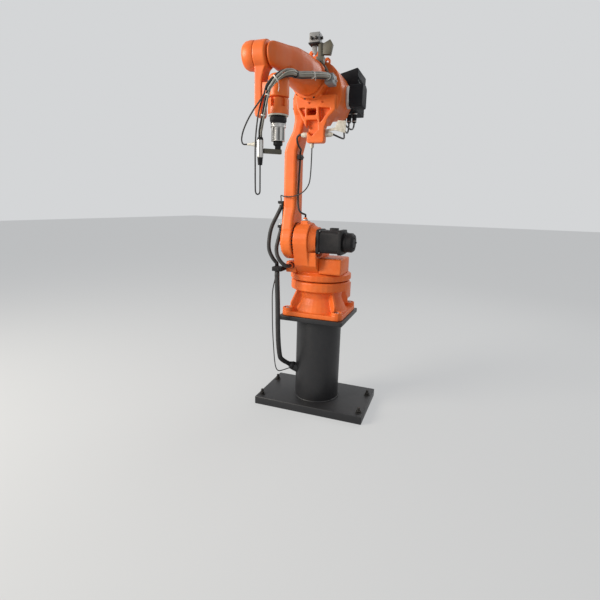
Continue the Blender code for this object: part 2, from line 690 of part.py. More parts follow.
def build_yoke(casting):
    """The V-shaped yoke under the barrel, with W ribs between its pockets."""
    block_top = YOKE_Z + 0.068
    foot = [(YOKE_Y0, YOKE_Z + 0.004), (YOKE_Y0 + 0.008, YOKE_Z), (YOKE_Y1 - 0.008, YOKE_Z),
            (YOKE_Y1, YOKE_Z + 0.008), (YOKE_Y1, block_top), (YOKE_Y1 + 0.012, ELBOW_Z - 0.100),
            (YOKE_Y1 + 0.012, ELBOW_Z - 0.040), (YOKE_Y0, ELBOW_Z - 0.040)]
    join(casting, lambda bm: prism(bm, foot, "X", YOKE_X0, YOKE_X1 - 0.0004), "yoke_foot")
    body = [(YOKE_Y0, block_top + 0.010), (YOKE_Y1 + 0.004, block_top + 0.022),
            (YOKE_Y1 + 0.018, ELBOW_Z - 0.086),
            (0.127, ELBOW_Z - 0.054), (0.127, ELBOW_Z + 0.013), (YOKE_Y0 - 0.025, ELBOW_Z + 0.013),
            (YOKE_Y0 - 0.025, ELBOW_Z - 0.060)]
    join(casting, lambda bm: prism(bm, body, "X", SHOULDER_X + 0.045, YOKE_X1), "yoke_body")
    left_leg = [(YOKE_Y0 + 0.004, block_top - 0.012), (-0.060, ELBOW_Z - 0.047), (-0.070, ELBOW_Z - 0.007),
                (-0.076, ELBOW_Z + 0.040), (0.0, ELBOW_Z + 0.040), (0.0, block_top - 0.012)]
    join(casting, lambda bm: prism(bm, left_leg, "X", YOKE_X1 - 0.024, YOKE_X1), "yoke_left_leg")
    pocket_back = YOKE_X1 - 0.026
    front = YOKE_X1 + 0.01
    middle = (YOKE_Y0 + YOKE_Y1) / 2 - 0.020
    notch = [(middle, YOKE_Z + 0.030), (middle + 0.034, block_top - 0.006),
             (middle + 0.028, block_top + 0.036),
             (middle - 0.026, block_top + 0.036), (middle - 0.026, block_top - 0.012)]
    cut(casting, lambda bm: prism(bm, notch, "X", pocket_back, front), "yoke_notch")
    window = rect(-0.011, 0.035, ELBOW_Z - 0.074, ELBOW_Z - 0.044)
    cut(casting, lambda bm: prism(bm, window, "X", YOKE_X1 - 0.075, front), "yoke_window")
    left_pocket = [(-0.052, ELBOW_Z - 0.040), (-0.021, ELBOW_Z - 0.040), (-0.021, ELBOW_Z - 0.086)]
    cut(casting, lambda bm: prism(bm, left_pocket, "X", YOKE_X1 - 0.014, front), "yoke_left_pocket")
    right_pocket = [(0.046, ELBOW_Z - 0.040), (0.106, ELBOW_Z - 0.046), (0.054, ELBOW_Z - 0.112)]
    cut(casting, lambda bm: prism(bm, right_pocket, "X", pocket_back, front), "yoke_right_pocket")


def build_casting_seats(casting):
    """Pads and lugs that the fittings on top of the elbow stand on."""
    join(casting, lambda bm: prism(bm, rect(0.262, 0.322, CLAMP_Z - 0.022, CLAMP_Z + 0.022), "Y", 0.05,
                                   BARREL_R + 0.004), "clamp_seat")
    lug_z = ROLL_Z + BARREL_R
    for name, y0, y1, top in (("left", -0.030, 0.020, lug_z + 0.057),
                              ("right", 0.048, 0.079, lug_z + 0.023)):
        middle = (y0 + y1) / 2
        join(casting, lambda bm: prism(bm, [(y0, lug_z - 0.06), (y1, lug_z - 0.06), (y1, top - 0.010),
                                            (y1 - 0.010, top), (y0 + 0.010, top), (y0, top - 0.010)],
                                       "X", 0.226, 0.240), f"lifting_lug_{name}")
        cut(casting, lambda bm: drum(bm, 0.007, 0.22, 0.25, (middle, top - 0.018), "X", 0, 10),
            f"lug_hole_{name}")


def build_elbow_drives(axis):
    middle_z = ELBOW_Z + RING_RISE
    ring_y = DRUM_Y1 + RING_T
    new_object("elbow_motor_ring",
               lambda bm: drum(bm, RING_R, DRUM_Y1 + GAP, ring_y, (SHOULDER_X, middle_z), "Y"), STEEL, axis)
    half = ELBOW_MOTOR_SIDE / 2
    motor = new_object("elbow_motor",
                       lambda bm: prism(bm, rounded(SHOULDER_X - half, SHOULDER_X + half, middle_z - half,
                                                    middle_z + half, 0.014), "Y", ring_y + GAP,
                                        ring_y + ELBOW_MOTOR_LEN), BLACK, axis)
    bevel(motor, 0.003)
    half = ROLL_MOTOR_SIDE / 2
    roll_end = MASS_X0 - GAP - ROLL_MOTOR_LEN
    motor = new_object("roll_motor",
                       lambda bm: prism(bm, rounded(-0.036, ROLL_MOTOR_SIDE - 0.036, ROLL_Z - half,
                                                    ROLL_Z + half, 0.012), "X", roll_end, MASS_X0 - GAP),
                       BLACK, axis)
    bevel(motor, 0.003)
    build_drive_cover(axis)


def build_drive_cover(axis):
    """The black cover behind the casting, with a sloping roof and louvres down its outer edge."""
    low = ELBOW_Z - COVER_DROP
    high = ELBOW_Z + COVER_RISE
    louvre_top = high - 0.030
    pitch = 0.022
    outline = [(COVER_Y0, low), (COVER_Y1, low)]
    for i in range(LOUVRES):
        z = louvre_top - pitch * (LOUVRES - i)
        outline += [(COVER_Y1, z), (COVER_Y1 + 0.007, z + 0.004), (COVER_Y1, z + pitch * 0.75)]
    outline += [(COVER_Y1, louvre_top), (COVER_Y1, high - 0.004), (COVER_Y1 - 0.004, high),
                (COVER_Y0 + 0.008, high - 0.022), (COVER_Y0, high - 0.030)]
    front = MASS_X0 - GAP
    cover = new_object("drive_cover", lambda bm: prism(bm, outline, "X", front - COVER_DEPTH, front), BLACK,
                       axis)
    bevel(cover, 0.002, 1, 50)
    for i in range(3):
        y = COVER_Y0 + 0.024 + 0.028 * i
        join(cover, lambda bm: lathe(bm, [(0, low - 0.050), (0.009, low - 0.050), (0.012, low - 0.036),
                                          (0.012, low + 0.010), (0, low + 0.010)],
                                     (front - 0.055, y), "Z", PIN_SIDES), f"cover_plug_{i + 1}")


def build_elbow_fittings(axis):
    post_top = ROLL_Z + POST_TOP
    inner = BARREL_R + 0.0006
    band = ([(y, ROLL_Z + z) for y, z in arc(0, 0, inner, 9, 71, 12)]
            + [(POST_Y - 0.019, ROLL_Z + 0.096), (POST_Y + 0.017, ROLL_Z + 0.096)]
            + [(y, ROLL_Z + z) for y, z in arc(0, 0, inner + 0.006, 46, 9, 8)])
    post = new_object("cable_post", lambda bm: prism(bm, band, "X", POST_X - 0.014, POST_X + 0.014), OLIVE,
                      axis)
    join(post,
         lambda bm: drum(bm, POST_R, ROLL_Z + 0.090, post_top, (POST_X, POST_Y), "Z", 0.002, BOSS_SIDES),
         "post_pipe")
    right = POST_Y + POST_R - 0.003
    join(post, lambda bm: prism(bm, [(right, post_top - 0.048), (right + 0.035, post_top - 0.052),
                                     (right + 0.045, post_top - 0.010), (right + 0.033, post_top + 0.010),
                                     (right, post_top - 0.004)], "X", POST_X - 0.010, POST_X + 0.010),
         "post_wing")
    block_low = post_top + GAP
    block = new_object("valve_block",
                       lambda bm: prism(bm, rect(POST_X - 0.022, POST_X + 0.020, -0.006, 0.044), "Z",
                                        block_low, block_low + 0.043), GREY, axis)
    bevel(block, 0.002)
    join(block, lambda bm: prism(bm, [(0.024, block_low + 0.004), (0.024, block_low - 0.034),
                                      (0.016, block_low - 0.044), (0.001, block_low - 0.030),
                                      (-0.002, block_low + 0.004)],
                                 "X", POST_X - 0.014, POST_X - 0.008), "valve_bracket")
    clamp_y = BARREL_R + 0.004 + GAP
    clamp = new_object("bundle_clamp",
                       lambda bm: prism(bm, rounded(0.282, BUNDLE_X0, CLAMP_Z - 0.023, CLAMP_Z + 0.021,
                                                    0.006, 2), "Y",
                                        clamp_y, clamp_y + 0.038), GREY, axis)
    bevel(clamp, 0.002)
    plate_y = YOKE_Y1 + GAP
    new_object("junction_plate",
               lambda bm: prism(bm, [(plate_y, YOKE_Z + 0.050), (0.122, YOKE_Z + 0.058),
                                     (0.176, YOKE_Z + 0.044),
                                     (0.176, YOKE_Z + 0.098), (0.136, YOKE_Z + 0.102),
                                     (0.124, YOKE_Z + 0.070),
                                     (plate_y, YOKE_Z + 0.062)], "X", 0.262, 0.268), LIGHT, axis)
    new_object("elbow_bottom_plug",
               lambda bm: lathe(bm, [(0, YOKE_Z - 0.022), (0.007, YOKE_Z - 0.022), (0.010, YOKE_Z - 0.014),
                                     (0.010, YOKE_Z - GAP), (0, YOKE_Z - GAP)], (PLUG_X, PLUG_Y), "Z",
                                PIN_SIDES),
               LIGHT, axis)
    side_z = YOKE_Z + 0.040
    new_object("elbow_side_plug",
               lambda bm: lathe(bm,
                                [(0, YOKE_Y0 - 0.034), (0.008, YOKE_Y0 - 0.034), (0.012, YOKE_Y0 - 0.024),
                                     (0.012, YOKE_Y0 - GAP), (0, YOKE_Y0 - GAP)], (PLUG_X, side_z), "Y",
                                PIN_SIDES), LIGHT, axis)
    return clamp_y + 0.019, side_z


# Forearm, on the fourth axis


def forearm_section(x, y0, y1, half_z, power):
    """One slice of the forearm, from round at its root to a soft box at the wrist."""
    points = []
    for u, v in arc(0, 0, 1, 0, 360 * (1 - 1 / 28), 27):
        grow = (abs(u) ** power + abs(v) ** power) ** (-1 / power)
        points.append((x, (y0 + y1) / 2 + u * grow * (y1 - y0) / 2, ROLL_Z + v * grow * half_z))
    return points


def build_forearm(axis):
    near = HUB_Y1 + JOINT_GAP
    slices = [(SEAM_X, -ROOT_R, ROOT_R, ROOT_R, 2), (SEAM_X + 0.045, -ROOT_R, ROOT_R, ROOT_R, 2),
              (SEAM_X + 0.11, -0.066, 0.068, 0.074, 2.4), (SEAM_X + 0.18, -0.050, 0.046, 0.068, 3),
              (WRIST_X - 0.075, near, 0.020, 0.056, 3.6), (WRIST_X - 0.020, near, 0.002, 0.049, 4),
              (WRIST_X + 0.012, near, -0.010, 0.045, 3.6), (WRIST_X + 0.036, near, near + 0.012, 0.028, 3)]
    forearm = new_object("forearm", lambda bm: loft(bm, [forearm_section(*s) for s in slices]), ORANGE, axis)
    join(forearm, lambda bm: drum(bm, NOSE_R, near, near + 0.011, (WRIST_X, ROLL_Z), "Y", 0.003),
         "forearm_nose")
    join(forearm, lambda bm: drum(bm, 0.058, SEAM_X - JOINT_GAP + GAP, SEAM_X + 0.01, (0, ROLL_Z), "X"),
         "forearm_spigot")
    join(forearm, lambda bm: drum(bm, 0.038, HUB_Y1 + GAP, near + 0.01, (WRIST_X, ROLL_Z), "Y"),
         "wrist_bearing")
    scallop = [(-0.040, -0.100), (-0.040, -0.062), (-0.047, -0.039), (-0.080, -0.028), (-0.118, -0.080),
               (-0.118, -0.100)]
    cut(forearm, lambda bm: prism(bm, [(WRIST_X + x, ROLL_Z + z) for x, z in scallop], "Y", -0.09, 0.09),
        "wrist_scallop")


# Wrist, on the fifth axis


def build_wrist(axis):
    centre = (WRIST_X, ROLL_Z)
    hub = new_object("wrist_hub",
                     lambda bm: lathe(bm, [(0, HUB_Y0), (HUB_R - 0.002, HUB_Y0), (HUB_R, HUB_Y0 + 0.003),
                                           (HUB_R, HUB_Y1 - 0.006), (HUB_R - 0.003, HUB_Y1), (0, HUB_Y1)],
                                      centre, "Y"), ORANGE, axis)
    low = ROLL_Z - HANGER_DROP
    inner = [(x, z) for x,
             z in curve_through([(HUB_Y1 - 0.001, ROLL_Z + 0.01), (HUB_Y1 - 0.004, ROLL_Z - 0.038),
                                               (HUB_Y1 - 0.014, ROLL_Z - 0.066),
                                 (HANGER_Y1, ROLL_Z - 0.100)],
                                              3, closed=False)]
    hanger_y0 = HANGER_Y1 - HANGER_T
    outer = [(hanger_y0, low + 0.010), (hanger_y0, ROLL_Z - 0.070), (HUB_Y0 + 0.001, ROLL_Z - 0.040),
             (HUB_Y0 + 0.001, ROLL_Z + 0.01)]
    front = inner + [(HANGER_Y1, low + 0.010), (HANGER_Y1 - 0.005, low), (hanger_y0 + 0.005, low)] + outer
    join(hub, lambda bm: prism(bm, front, "X", WRIST_X - 0.028, WRIST_X + 0.030), "wrist_hanger")
    new_object("wrist_cap",
               lambda bm: lathe(bm, [(0, HUB_Y0 - CAP_T), (0.030, HUB_Y0 - CAP_T + 0.0005),
                                     (HUB_R - 0.008, HUB_Y0 - CAP_T + 0.006),
                                     (HUB_R - 0.001, HUB_Y0 - CAP_T + 0.018),
                                     (HUB_R + 0.001, HUB_Y0 - 0.020), (HUB_R, HUB_Y0 - GAP),
                                     (0, HUB_Y0 - GAP)],
                                centre, "Y"), ORANGE, axis)
    top = ROLL_Z - ROLL_TOP
    housing = new_object("roll_housing",
                         lambda bm: lathe(bm, [(0, ROLL_SEAT_Z), (ROLL_R - 0.002, ROLL_SEAT_Z),
                                               (ROLL_R, ROLL_SEAT_Z + 0.003), (ROLL_R, top - 0.010),
                                               (ROLL_R - 0.010, top), (0, top)], (WRIST_X, TOOL_Y), "Z"),
                         ORANGE, axis)
    join(housing, lambda bm: prism(bm, rect(WRIST_X - 0.024, WRIST_X + 0.026, HANGER_Y1 + GAP, TOOL_Y), "Z",
                                   ROLL_SEAT_Z + 0.006, ROLL_SEAT_Z + 0.054), "housing_arm")


# Tool, on the sixth axis


def build_tool(axis):
    centre = (WRIST_X, TOOL_Y)
    low = TOOL_Z - FLANGE_LEN
    flange = new_object("tool_flange",
                        lambda bm: drum(bm, FLANGE_R, low, low + 0.028, centre, "Z", 0.002, BOSS_SIDES),
                        ORANGE, axis)
    crown = toothed(*centre, FLANGE_R, FLANGE_R - 0.011, 6, 0.62)
    join(flange, lambda bm: prism(bm, crown, "Z", low + 0.020, TOOL_Z), "flange_teeth")
    join(flange, lambda bm: drum(bm, 0.026, TOOL_Z - 0.01, ROLL_SEAT_Z - GAP, centre, "Z", 0, BOSS_SIDES),
         "flange_spigot")
    new_object("collision_sensor",
               lambda bm: lathe(bm, [(0, SENSOR_Z - SENSOR_LEN), (SENSOR_R - 0.003, SENSOR_Z - SENSOR_LEN),
                                     (SENSOR_R - 0.003, SENSOR_Z - 0.026), (SENSOR_R, SENSOR_Z - 0.024),
                                     (SENSOR_R, SENSOR_Z - 0.010), (SENSOR_R - 0.004, SENSOR_Z - 0.008),
                                     (SENSOR_R - 0.004, SENSOR_Z), (0, SENSOR_Z)], centre, "Z", BOSS_SIDES),
               BLACK, axis)
    new_object("torch_body",
               lambda bm: lathe(bm, [(0, TORCH_Z - TORCH_LEN), (TORCH_R - 0.004, TORCH_Z - TORCH_LEN),
                                     (TORCH_R - 0.003, TORCH_Z - 0.018), (TORCH_R, TORCH_Z - 0.015),
                                     (TORCH_R, TORCH_Z - 0.002), (TORCH_R - 0.002, TORCH_Z), (0, TORCH_Z)],
                                centre, "Z", BOSS_SIDES), STEEL, axis)
    new_object("torch_neck",
               lambda bm: lathe(bm, [(0, TIP_Z), (0.012, TIP_Z), (0.012, NECK_Z - 0.018),
                                     (0.019, NECK_Z - 0.014),
                                     (0.019, NECK_Z), (0, NECK_Z)], centre, "Z", BOSS_SIDES), BLACK, axis)
    build_torch_bracket(axis)


def build_torch_bracket(axis):
    """The bracket under the neck, and the hose connector that it carries beside the torch."""
    top = TIP_Z - GAP
    toward = math.atan2(SIDE_Y - TOOL_Y, SIDE_X - WRIST_X)
    reach = math.hypot(SIDE_X - WRIST_X, SIDE_Y - TOOL_Y) - SIDE_R - GAP
    arm = lambda bm: prism(bm, rounded(WRIST_X - 0.015, WRIST_X + reach, TOOL_Y - 0.010, TOOL_Y + 0.010,
                                       0.004, 2),
                           "Z", top - BRACKET_T, top)
    bracket = new_object("torch_bracket", turned(arm, math.degrees(toward), (WRIST_X, TOOL_Y)), OLIVE, axis)
    bevel(bracket, 0.001)
    middle = top - 0.009
    side = new_object("side_connector",
                      lambda bm: lathe(bm, [(0, middle - 0.055), (0.009, middle - 0.055),
                                            (0.011, middle - 0.030),
                                     (SIDE_R - 0.001, middle - 0.026), (SIDE_R, middle - 0.016),
                                     (SIDE_R, middle + 0.040), (SIDE_R - 0.002, middle + SIDE_TOP),
                                     (0, middle + SIDE_TOP)], (SIDE_X, SIDE_Y), "Z", BOSS_SIDES), STEEL,
                      axis)
    plug_y = SIDE_Y - SIDE_R + 0.004
    join(side,
         lambda bm: lathe(bm, [(0, plug_y - PLUG_LEN), (0.0045, plug_y - PLUG_LEN), (0.005, plug_y - 0.034),
                                     (0.011, plug_y - 0.006), (0.011, plug_y), (0, plug_y)],
                                (SIDE_X, middle + 0.025), "Y", PIN_SIDES), "sensor_plug")


# Cords


def build_cords(axes, block_top, seat_z, low, high, clip_y, clip_z, clamp_mid, side_z):
    swivel, arm, elbow, forearm, wrist, tool = axes
    clamp_low = block_top - CLAMP_TOP - CLAMP_H
    clamp_high = block_top - CLAMP_TOP
    radial = Vector((math.cos(math.radians(GLAND_ANGLE)), math.sin(math.radians(GLAND_ANGLE)), 0))
    out = radial * math.cos(math.radians(GLAND_TILT)) + Vector((0, 0, math.sin(math.radians(GLAND_TILT))))
    gland_face = radial * COLUMN_R + Vector((0, 0, GLAND_Z)) + out * (BOSS_LEN + GLAND_LEN)
    hose_x = (CLAMP_X0 + CLAMP_X1) / 2 + 0.009
    hose_y = CLAMP_Y0 + 0.024
    route = lead((hose_x, hose_y, clamp_low), (0, 0, -1), 0.030)
    route += [(0.232, -0.177, 0.74), (0.236, -0.172, 0.66), (0.240, -0.168, 0.57), (0.238, -0.166, 0.48),
              (0.222, -0.168, 0.405), (0.190, -0.175, 0.345), (0.153, -0.182, 0.302)]
    route += list(reversed(lead(gland_face, out, 0.030)))
    cord("main_hose", route, HOSE_D, RUBBER, None, 1.4)
    wire_x = CLAMP_X0 + 0.008
    route = lead((wire_x, CLAMP_Y0 + 0.008, clamp_low), (0, 0, -1), 0.020)
    route += [(0.212, -0.214, 0.72), (0.222, -0.210, 0.60), (0.226, -0.204, 0.48), (0.210, -0.204, 0.38),
              (0.186, -0.208, 0.30), (0.152, -0.214, 0.240), (0.118, -0.214, 0.205), (0.080, -0.206, 0.192)]
    toward = Vector((math.cos(math.radians(STUD_ANGLE)), math.sin(math.radians(STUD_ANGLE)), 0))
    stud_face = toward * (COLUMN_R + STUD_LEN) + Vector((0, 0, STUD_Z))
    cord("ground_wire", route + list(reversed(lead(stud_face, toward, 0.014))), WIRE_D, RUBBER, None, 6.0)
    build_arm_conduits(arm, clamp_high, block_top, low, high)
    plug_face = (PLUG_X, PLUG_Y, YOKE_Z - 0.022)
    bracket_top = ((BRACKET_X0 + BRACKET_X1) / 2 + 0.006, ARM_Y0 - HANG_Y, high)
    route = lead(plug_face, (0, 0, -1), 0.020)
    route += [(0.266, 0.010, 1.40), (0.256, 0.004, 1.34), (0.246, -0.006, 1.30), (0.238, -0.030, 1.268),
              (0.230, -0.066, 1.246), (0.226, -0.112, 1.235), (0.222, -0.150, 1.236), (0.212, -0.172, 1.240)]
    route += list(reversed(lead(bracket_top, (0, 0, 1), 0.012)))
    cord("elbow_cable", route, WIRE_D, RUBBER, elbow, 3.0)
    clip_x = 0.179
    route = lead((PLUG_X, YOKE_Y0 - 0.034, side_z), (0, -1, 0), 0.012)
    route += [(0.266, -0.068, 1.515), (0.248, -0.070, 1.490), (0.222, -0.068, 1.474), (0.196, -0.072, 1.470)]
    route += list(reversed(lead((clip_x, clip_y, clip_z), (0, 0, 1), 0.012)))
    cord("elbow_harness", route, HARNESS_D, RUBBER, elbow, 2.0)
    route = lead((clip_x, clip_y, clip_z - 0.024), (0, 0, -1), 0.020)
    route += [(0.181, -0.084, 1.34), (0.186, -0.085, 1.25), (0.192, -0.082, 1.20), (0.196, -0.074, 1.168),
              (0.190, -0.060, 1.152)]
    route += list(reversed(lead((SHOULDER_X + 0.020, -0.046, seat_z + 0.018), (0, 0, 1), 0.014)))
    cord("arm_harness", route, HARNESS_D, RUBBER, arm, 2.2)
    build_torch_cords(elbow, forearm, wrist, tool, clamp_mid)


def build_arm_conduits(arm, clamp_high, block_top, low, high):
    """The two corrugated conduits that pass the shoulder on the arm's outer side."""
    hang_x = (BRACKET_X0 + BRACKET_X1) / 2
    route = lead((hang_x, ARM_Y0 - HANG_Y, high - LUG_T), (0, 0, -1), 0.014)
    route += [(0.196, -0.198, 1.14), (0.202, -0.228, 1.075), (0.208, -0.240, 1.01), (0.212, -0.238, 0.95),
              (0.212, -0.216, 0.905)]
    end = (CLAMP_X0 + 0.014, CLAMP_Y0 + 0.012, clamp_high)
    route += list(reversed(lead(end, (0, 0, 1), 0.014)))
    cord("arm_conduit_outer", route, CONDUIT_D, RUBBER, arm, 1.7)
    route = lead((hang_x + 0.004, ARM_Y0 - HANG_Y, low), (0, 0, -1), 0.012)
    route += [(0.206, -0.186, 1.01), (0.226, -0.188, 0.965), (0.242, -0.176, 0.925), (0.246, -0.152, 0.892),
              (0.236, -0.130, 0.872)]
    route += list(reversed(lead((0.195, -0.120, block_top - 0.021), (1, 0, 0), 0.016)))
    cord("arm_conduit_inner", route, CONDUIT_D, RUBBER, arm, 1.5)


def build_torch_cords(elbow, forearm, wrist, tool, clamp_mid):
    """The torch's hose bundle, in a length for each joint that it crosses, and the wires beside it."""
    tie_1 = (0.622, 0.055, ROLL_Z - 0.068)
    along_1 = Vector((1, -0.03, -0.10))
    tie_2 = Vector((0.728, -0.018, ROLL_Z - 0.148))
    along_2 = Vector((0, -0.3, -0.954))
    across_2 = Vector((0, 0.954, -0.3))
    route = lead((BUNDLE_X0, clamp_mid, CLAMP_Z), (1, 0, 0), 0.020)
    route += [(0.400, 0.108, 1.747), (0.445, 0.100, 1.738), (0.500, 0.086, 1.725), (0.560, 0.070, 1.711)]
    cord("torch_bundle_upper", route + list(reversed(lead(tie_1, -along_1, 0.020))), BUNDLE_D, SLEEVE,
         elbow, 1.4)
    route = lead(tie_1, along_1, 0.020)
    route += [(0.676, 0.053, 1.690), (0.709, 0.038, 1.677), (0.727, 0.010, 1.653)]
    cord("torch_bundle_middle", route + list(reversed(lead(tie_2, -along_2, 0.014))), BUNDLE_D, SLEEVE,
         forearm, 1.0)
    middle = TIP_Z - GAP - 0.009
    side_top = (SIDE_X, SIDE_Y, middle + SIDE_TOP)
    route = lead(tie_2 + across_2 * 0.005, along_2, 0.014)
    route += [(0.725, -0.026, 1.575), (0.719, -0.038, 1.535), (0.709, -0.051, 1.500)]
    cord("torch_bundle_end", route + list(reversed(lead(side_top, (0, 0, 1), 0.022))), END_D, SLEEVE, wrist,
         1.6)
    plug_end = (SIDE_X, SIDE_Y - SIDE_R + 0.004 - PLUG_LEN, middle + 0.025)
    route = lead(tie_2 - across_2 * 0.004 + Vector((0.009, 0, 0)), along_2, 0.012)
    route += [(0.738, -0.040, 1.585), (0.736, -0.070, 1.552), (0.730, -0.100, 1.515), (0.722, -0.124, 1.478),
              (0.712, -0.137, 1.448), (0.704, -0.136, 1.431)]
    cord("sensor_wire", route + list(reversed(lead(plug_end, (0, -1, 0), 0.010))), WIRE_D, RUBBER, wrist,
         3.0)
    route = lead(tie_2 - across_2 * 0.0095, along_2, 0.014)
    route += [(0.7285, -0.043, 1.578), (0.7265, -0.056, 1.535), (0.7245, -0.064, 1.490),
              (0.7245, -0.068, 1.450),
              (0.7245, -0.070, 1.400), (0.723, -0.070, 1.340), (0.720, -0.070, 1.285),
              (0.714, -0.067, 1.245),
              (0.706, -0.063, 1.232), (0.701, -0.060, 1.247), (0.700, -0.060, 1.290)]
    side_low = (SIDE_X, SIDE_Y, middle - 0.055)
    cord("tool_loop", route + list(reversed(lead(side_low, (0, 0, -1), 0.014))), WIRE_D, RUBBER, wrist, 4.0)


def build_all():
    build_pedestal()
    build_base()
    axis_1 = pivot("axis_1", (0, 0, TURN_Z))
    axis_2 = pivot("axis_2", (SHOULDER_X, ARM_Y1, SHOULDER_Z), axis_1)
    axis_3 = pivot("axis_3", (SHOULDER_X, ARM_TOP_Y1, ELBOW_Z), axis_2)
    axis_4 = pivot("axis_4", (SEAM_X, 0, ROLL_Z), axis_3)
    axis_5 = pivot("axis_5", (WRIST_X, HUB_Y1, ROLL_Z), axis_4)
    axis_6 = pivot("axis_6", (WRIST_X, TOOL_Y, ROLL_SEAT_Z), axis_5)
    block_top, seat_z = build_swivel(axis_1)
    build_shoulder_motor(axis_1)
    low, high, clip_y, clip_z = build_lower_arm(axis_2)
    build_elbow_casting(axis_3)
    build_elbow_drives(axis_3)
    clamp_mid, side_z = build_elbow_fittings(axis_3)
    build_forearm(axis_4)
    build_wrist(axis_5)
    build_tool(axis_6)
    build_cords((axis_1, axis_2, axis_3, axis_4, axis_5, axis_6), block_top, seat_z, low, high, clip_y,
                clip_z,
                clamp_mid, side_z)


build_all()
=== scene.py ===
"""The looks of the industrial robot arm: camera, light, finishes, hoses, castings and fasteners."""

import json
import math

import bpy
from mathutils import Matrix, Vector


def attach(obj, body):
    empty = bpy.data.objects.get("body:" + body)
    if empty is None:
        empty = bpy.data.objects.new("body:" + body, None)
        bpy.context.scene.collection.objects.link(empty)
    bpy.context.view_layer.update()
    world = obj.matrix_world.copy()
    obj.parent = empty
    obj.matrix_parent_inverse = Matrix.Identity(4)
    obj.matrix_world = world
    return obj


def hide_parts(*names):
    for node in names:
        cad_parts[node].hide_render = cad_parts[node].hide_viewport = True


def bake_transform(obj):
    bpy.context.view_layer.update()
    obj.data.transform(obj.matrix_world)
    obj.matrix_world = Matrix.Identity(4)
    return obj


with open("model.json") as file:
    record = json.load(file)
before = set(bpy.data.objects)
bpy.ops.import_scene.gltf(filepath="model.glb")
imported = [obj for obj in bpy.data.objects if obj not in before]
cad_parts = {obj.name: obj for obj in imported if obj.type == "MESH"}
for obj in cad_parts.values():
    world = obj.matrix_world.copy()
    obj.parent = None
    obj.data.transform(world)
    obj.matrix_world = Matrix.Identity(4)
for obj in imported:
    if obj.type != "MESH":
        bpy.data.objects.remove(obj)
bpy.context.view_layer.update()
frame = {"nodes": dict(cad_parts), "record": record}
NODES = frame["nodes"]
BODY_OF = {node: body for body, nodes in frame["record"]["behaviour"]["bodies"].items() for node in nodes}

# Places on the arm, in metres, as in the part's source
COLUMN_R = 0.133
PLATE_TOP = 0.048
GLAND_TURN = math.radians(-58)
GLAND_TILT = math.radians(30)
STUD_TURN = math.radians(-78)
STUD_Z = 0.200
FOOT_TOP = 0.601
PANEL_X = -0.3203
PANEL_Z = 0.664
TURN_TOP = 0.825
CLAMP_TOP_Z = 0.862
CLAMP_LOW_Z = CLAMP_TOP_Z - 0.024
SIDE_GLAND_Y = -0.120
SIDE_GLAND_Z = 0.867
SEAT_Z = 1.112
SHOULDER = Vector((0.150, -0.098, 1.007))
BRACKET_MID_X = 0.1875
BRACKET_HANG_Y = -0.179
BRACKET_LOW_Z = 1.071
BRACKET_HIGH_Z = 1.212
ELBOW = Vector((0.150, -0.055, 1.687))
DRIVE_GLAND_X = 0.0047
DRIVE_GLANDS_Y = (0.096, 0.124, 0.152)
DRIVE_GLAND_LOW = 1.6229
ROLL_Z = 1.765
ROLL_MOTOR_BACK = (-0.0552, 0.008, ROLL_Z)
WRIST = Vector((0.655, -0.042, 1.765))
TOOL = Vector((0.655, -0.002, 1.607))
SIDE = Vector((0.700, -0.060, 1.4038))

# Where ties hold the torch's bundle, and the way it runs through them
TIE_1 = Vector((0.622, 0.055, ROLL_Z - 0.068))
ALONG_1 = Vector((1, -0.03, -0.10))
TIE_2 = Vector((0.728, -0.018, ROLL_Z - 0.148))
ALONG_2 = Vector((0, -0.3, -0.954))
ACROSS_2 = Vector((0, 0.954, -0.3))

# Ways that ends and fasteners point
PLUS_X = (1, 0, 0)
MINUS_X = (-1, 0, 0)
PLUS_Y = (0, 1, 0)
MINUS_Y = (0, -1, 0)
PLUS_Z = (0, 0, 1)
MINUS_Z = (0, 0, -1)

# Cords, in metres, with the step from rib to rib in diameters
SEAT_GAP = 0.0003
CURVE_STEPS = 16
RIB_DEPTH = 0.0011
RIB_STEP = 0.09
BUNDLE_D = 0.029
BUNDLE_GAP = 0.009
LOOSENESS = 0.33
TIE_R = 0.0152
TIE_WIDTH = 0.005
WRAP_WIDTH = 0.016
BUCKLE_R = 0.0150
TAIL_R = 0.0012
LONG_TAIL = 0.03
DRIVE_CABLE_D = 0.0084


# Camera


def new_object(name, data):
    """An object in the scene that shows a mesh, a lamp or a camera."""
    obj = bpy.data.objects.new(name, data)
    bpy.context.scene.collection.objects.link(obj)
    return obj


def set_camera():
    """The photograph's own viewpoint, in front of the tool and looking slightly down."""
    viewpoint = (2.278, 0.703, 1.200)
    heading = math.radians(20)
    pitch = math.radians(13.2)
    roll = math.radians(-1.6)
    ahead = math.cos(pitch)
    forward = Vector((-math.cos(heading) * ahead, -math.sin(heading) * ahead, -math.sin(pitch)))
    level = forward.cross(Vector(PLUS_Z)).normalized()
    down = forward.cross(level)
    right = level * math.cos(roll) + down * math.sin(roll)
    below = down * math.cos(roll) - level * math.sin(roll)
    data = bpy.data.cameras.new("camera")
    data.sensor_width = 36
    data.lens = 24.6
    camera = new_object("camera", data)
    axes = Matrix((right, -below, -forward)).transposed()
    camera.matrix_world = Matrix.Translation(viewpoint) @ axes.to_4x4()
    bpy.context.scene.camera = camera


set_camera()


# Finishes


def add_node(tree, kind, values=None):
    """A shader node, with values for some of its sockets."""
    node = tree.nodes.new(kind)
    for socket, value in (values or {}).items():
        node.inputs[socket].default_value = value
    return node


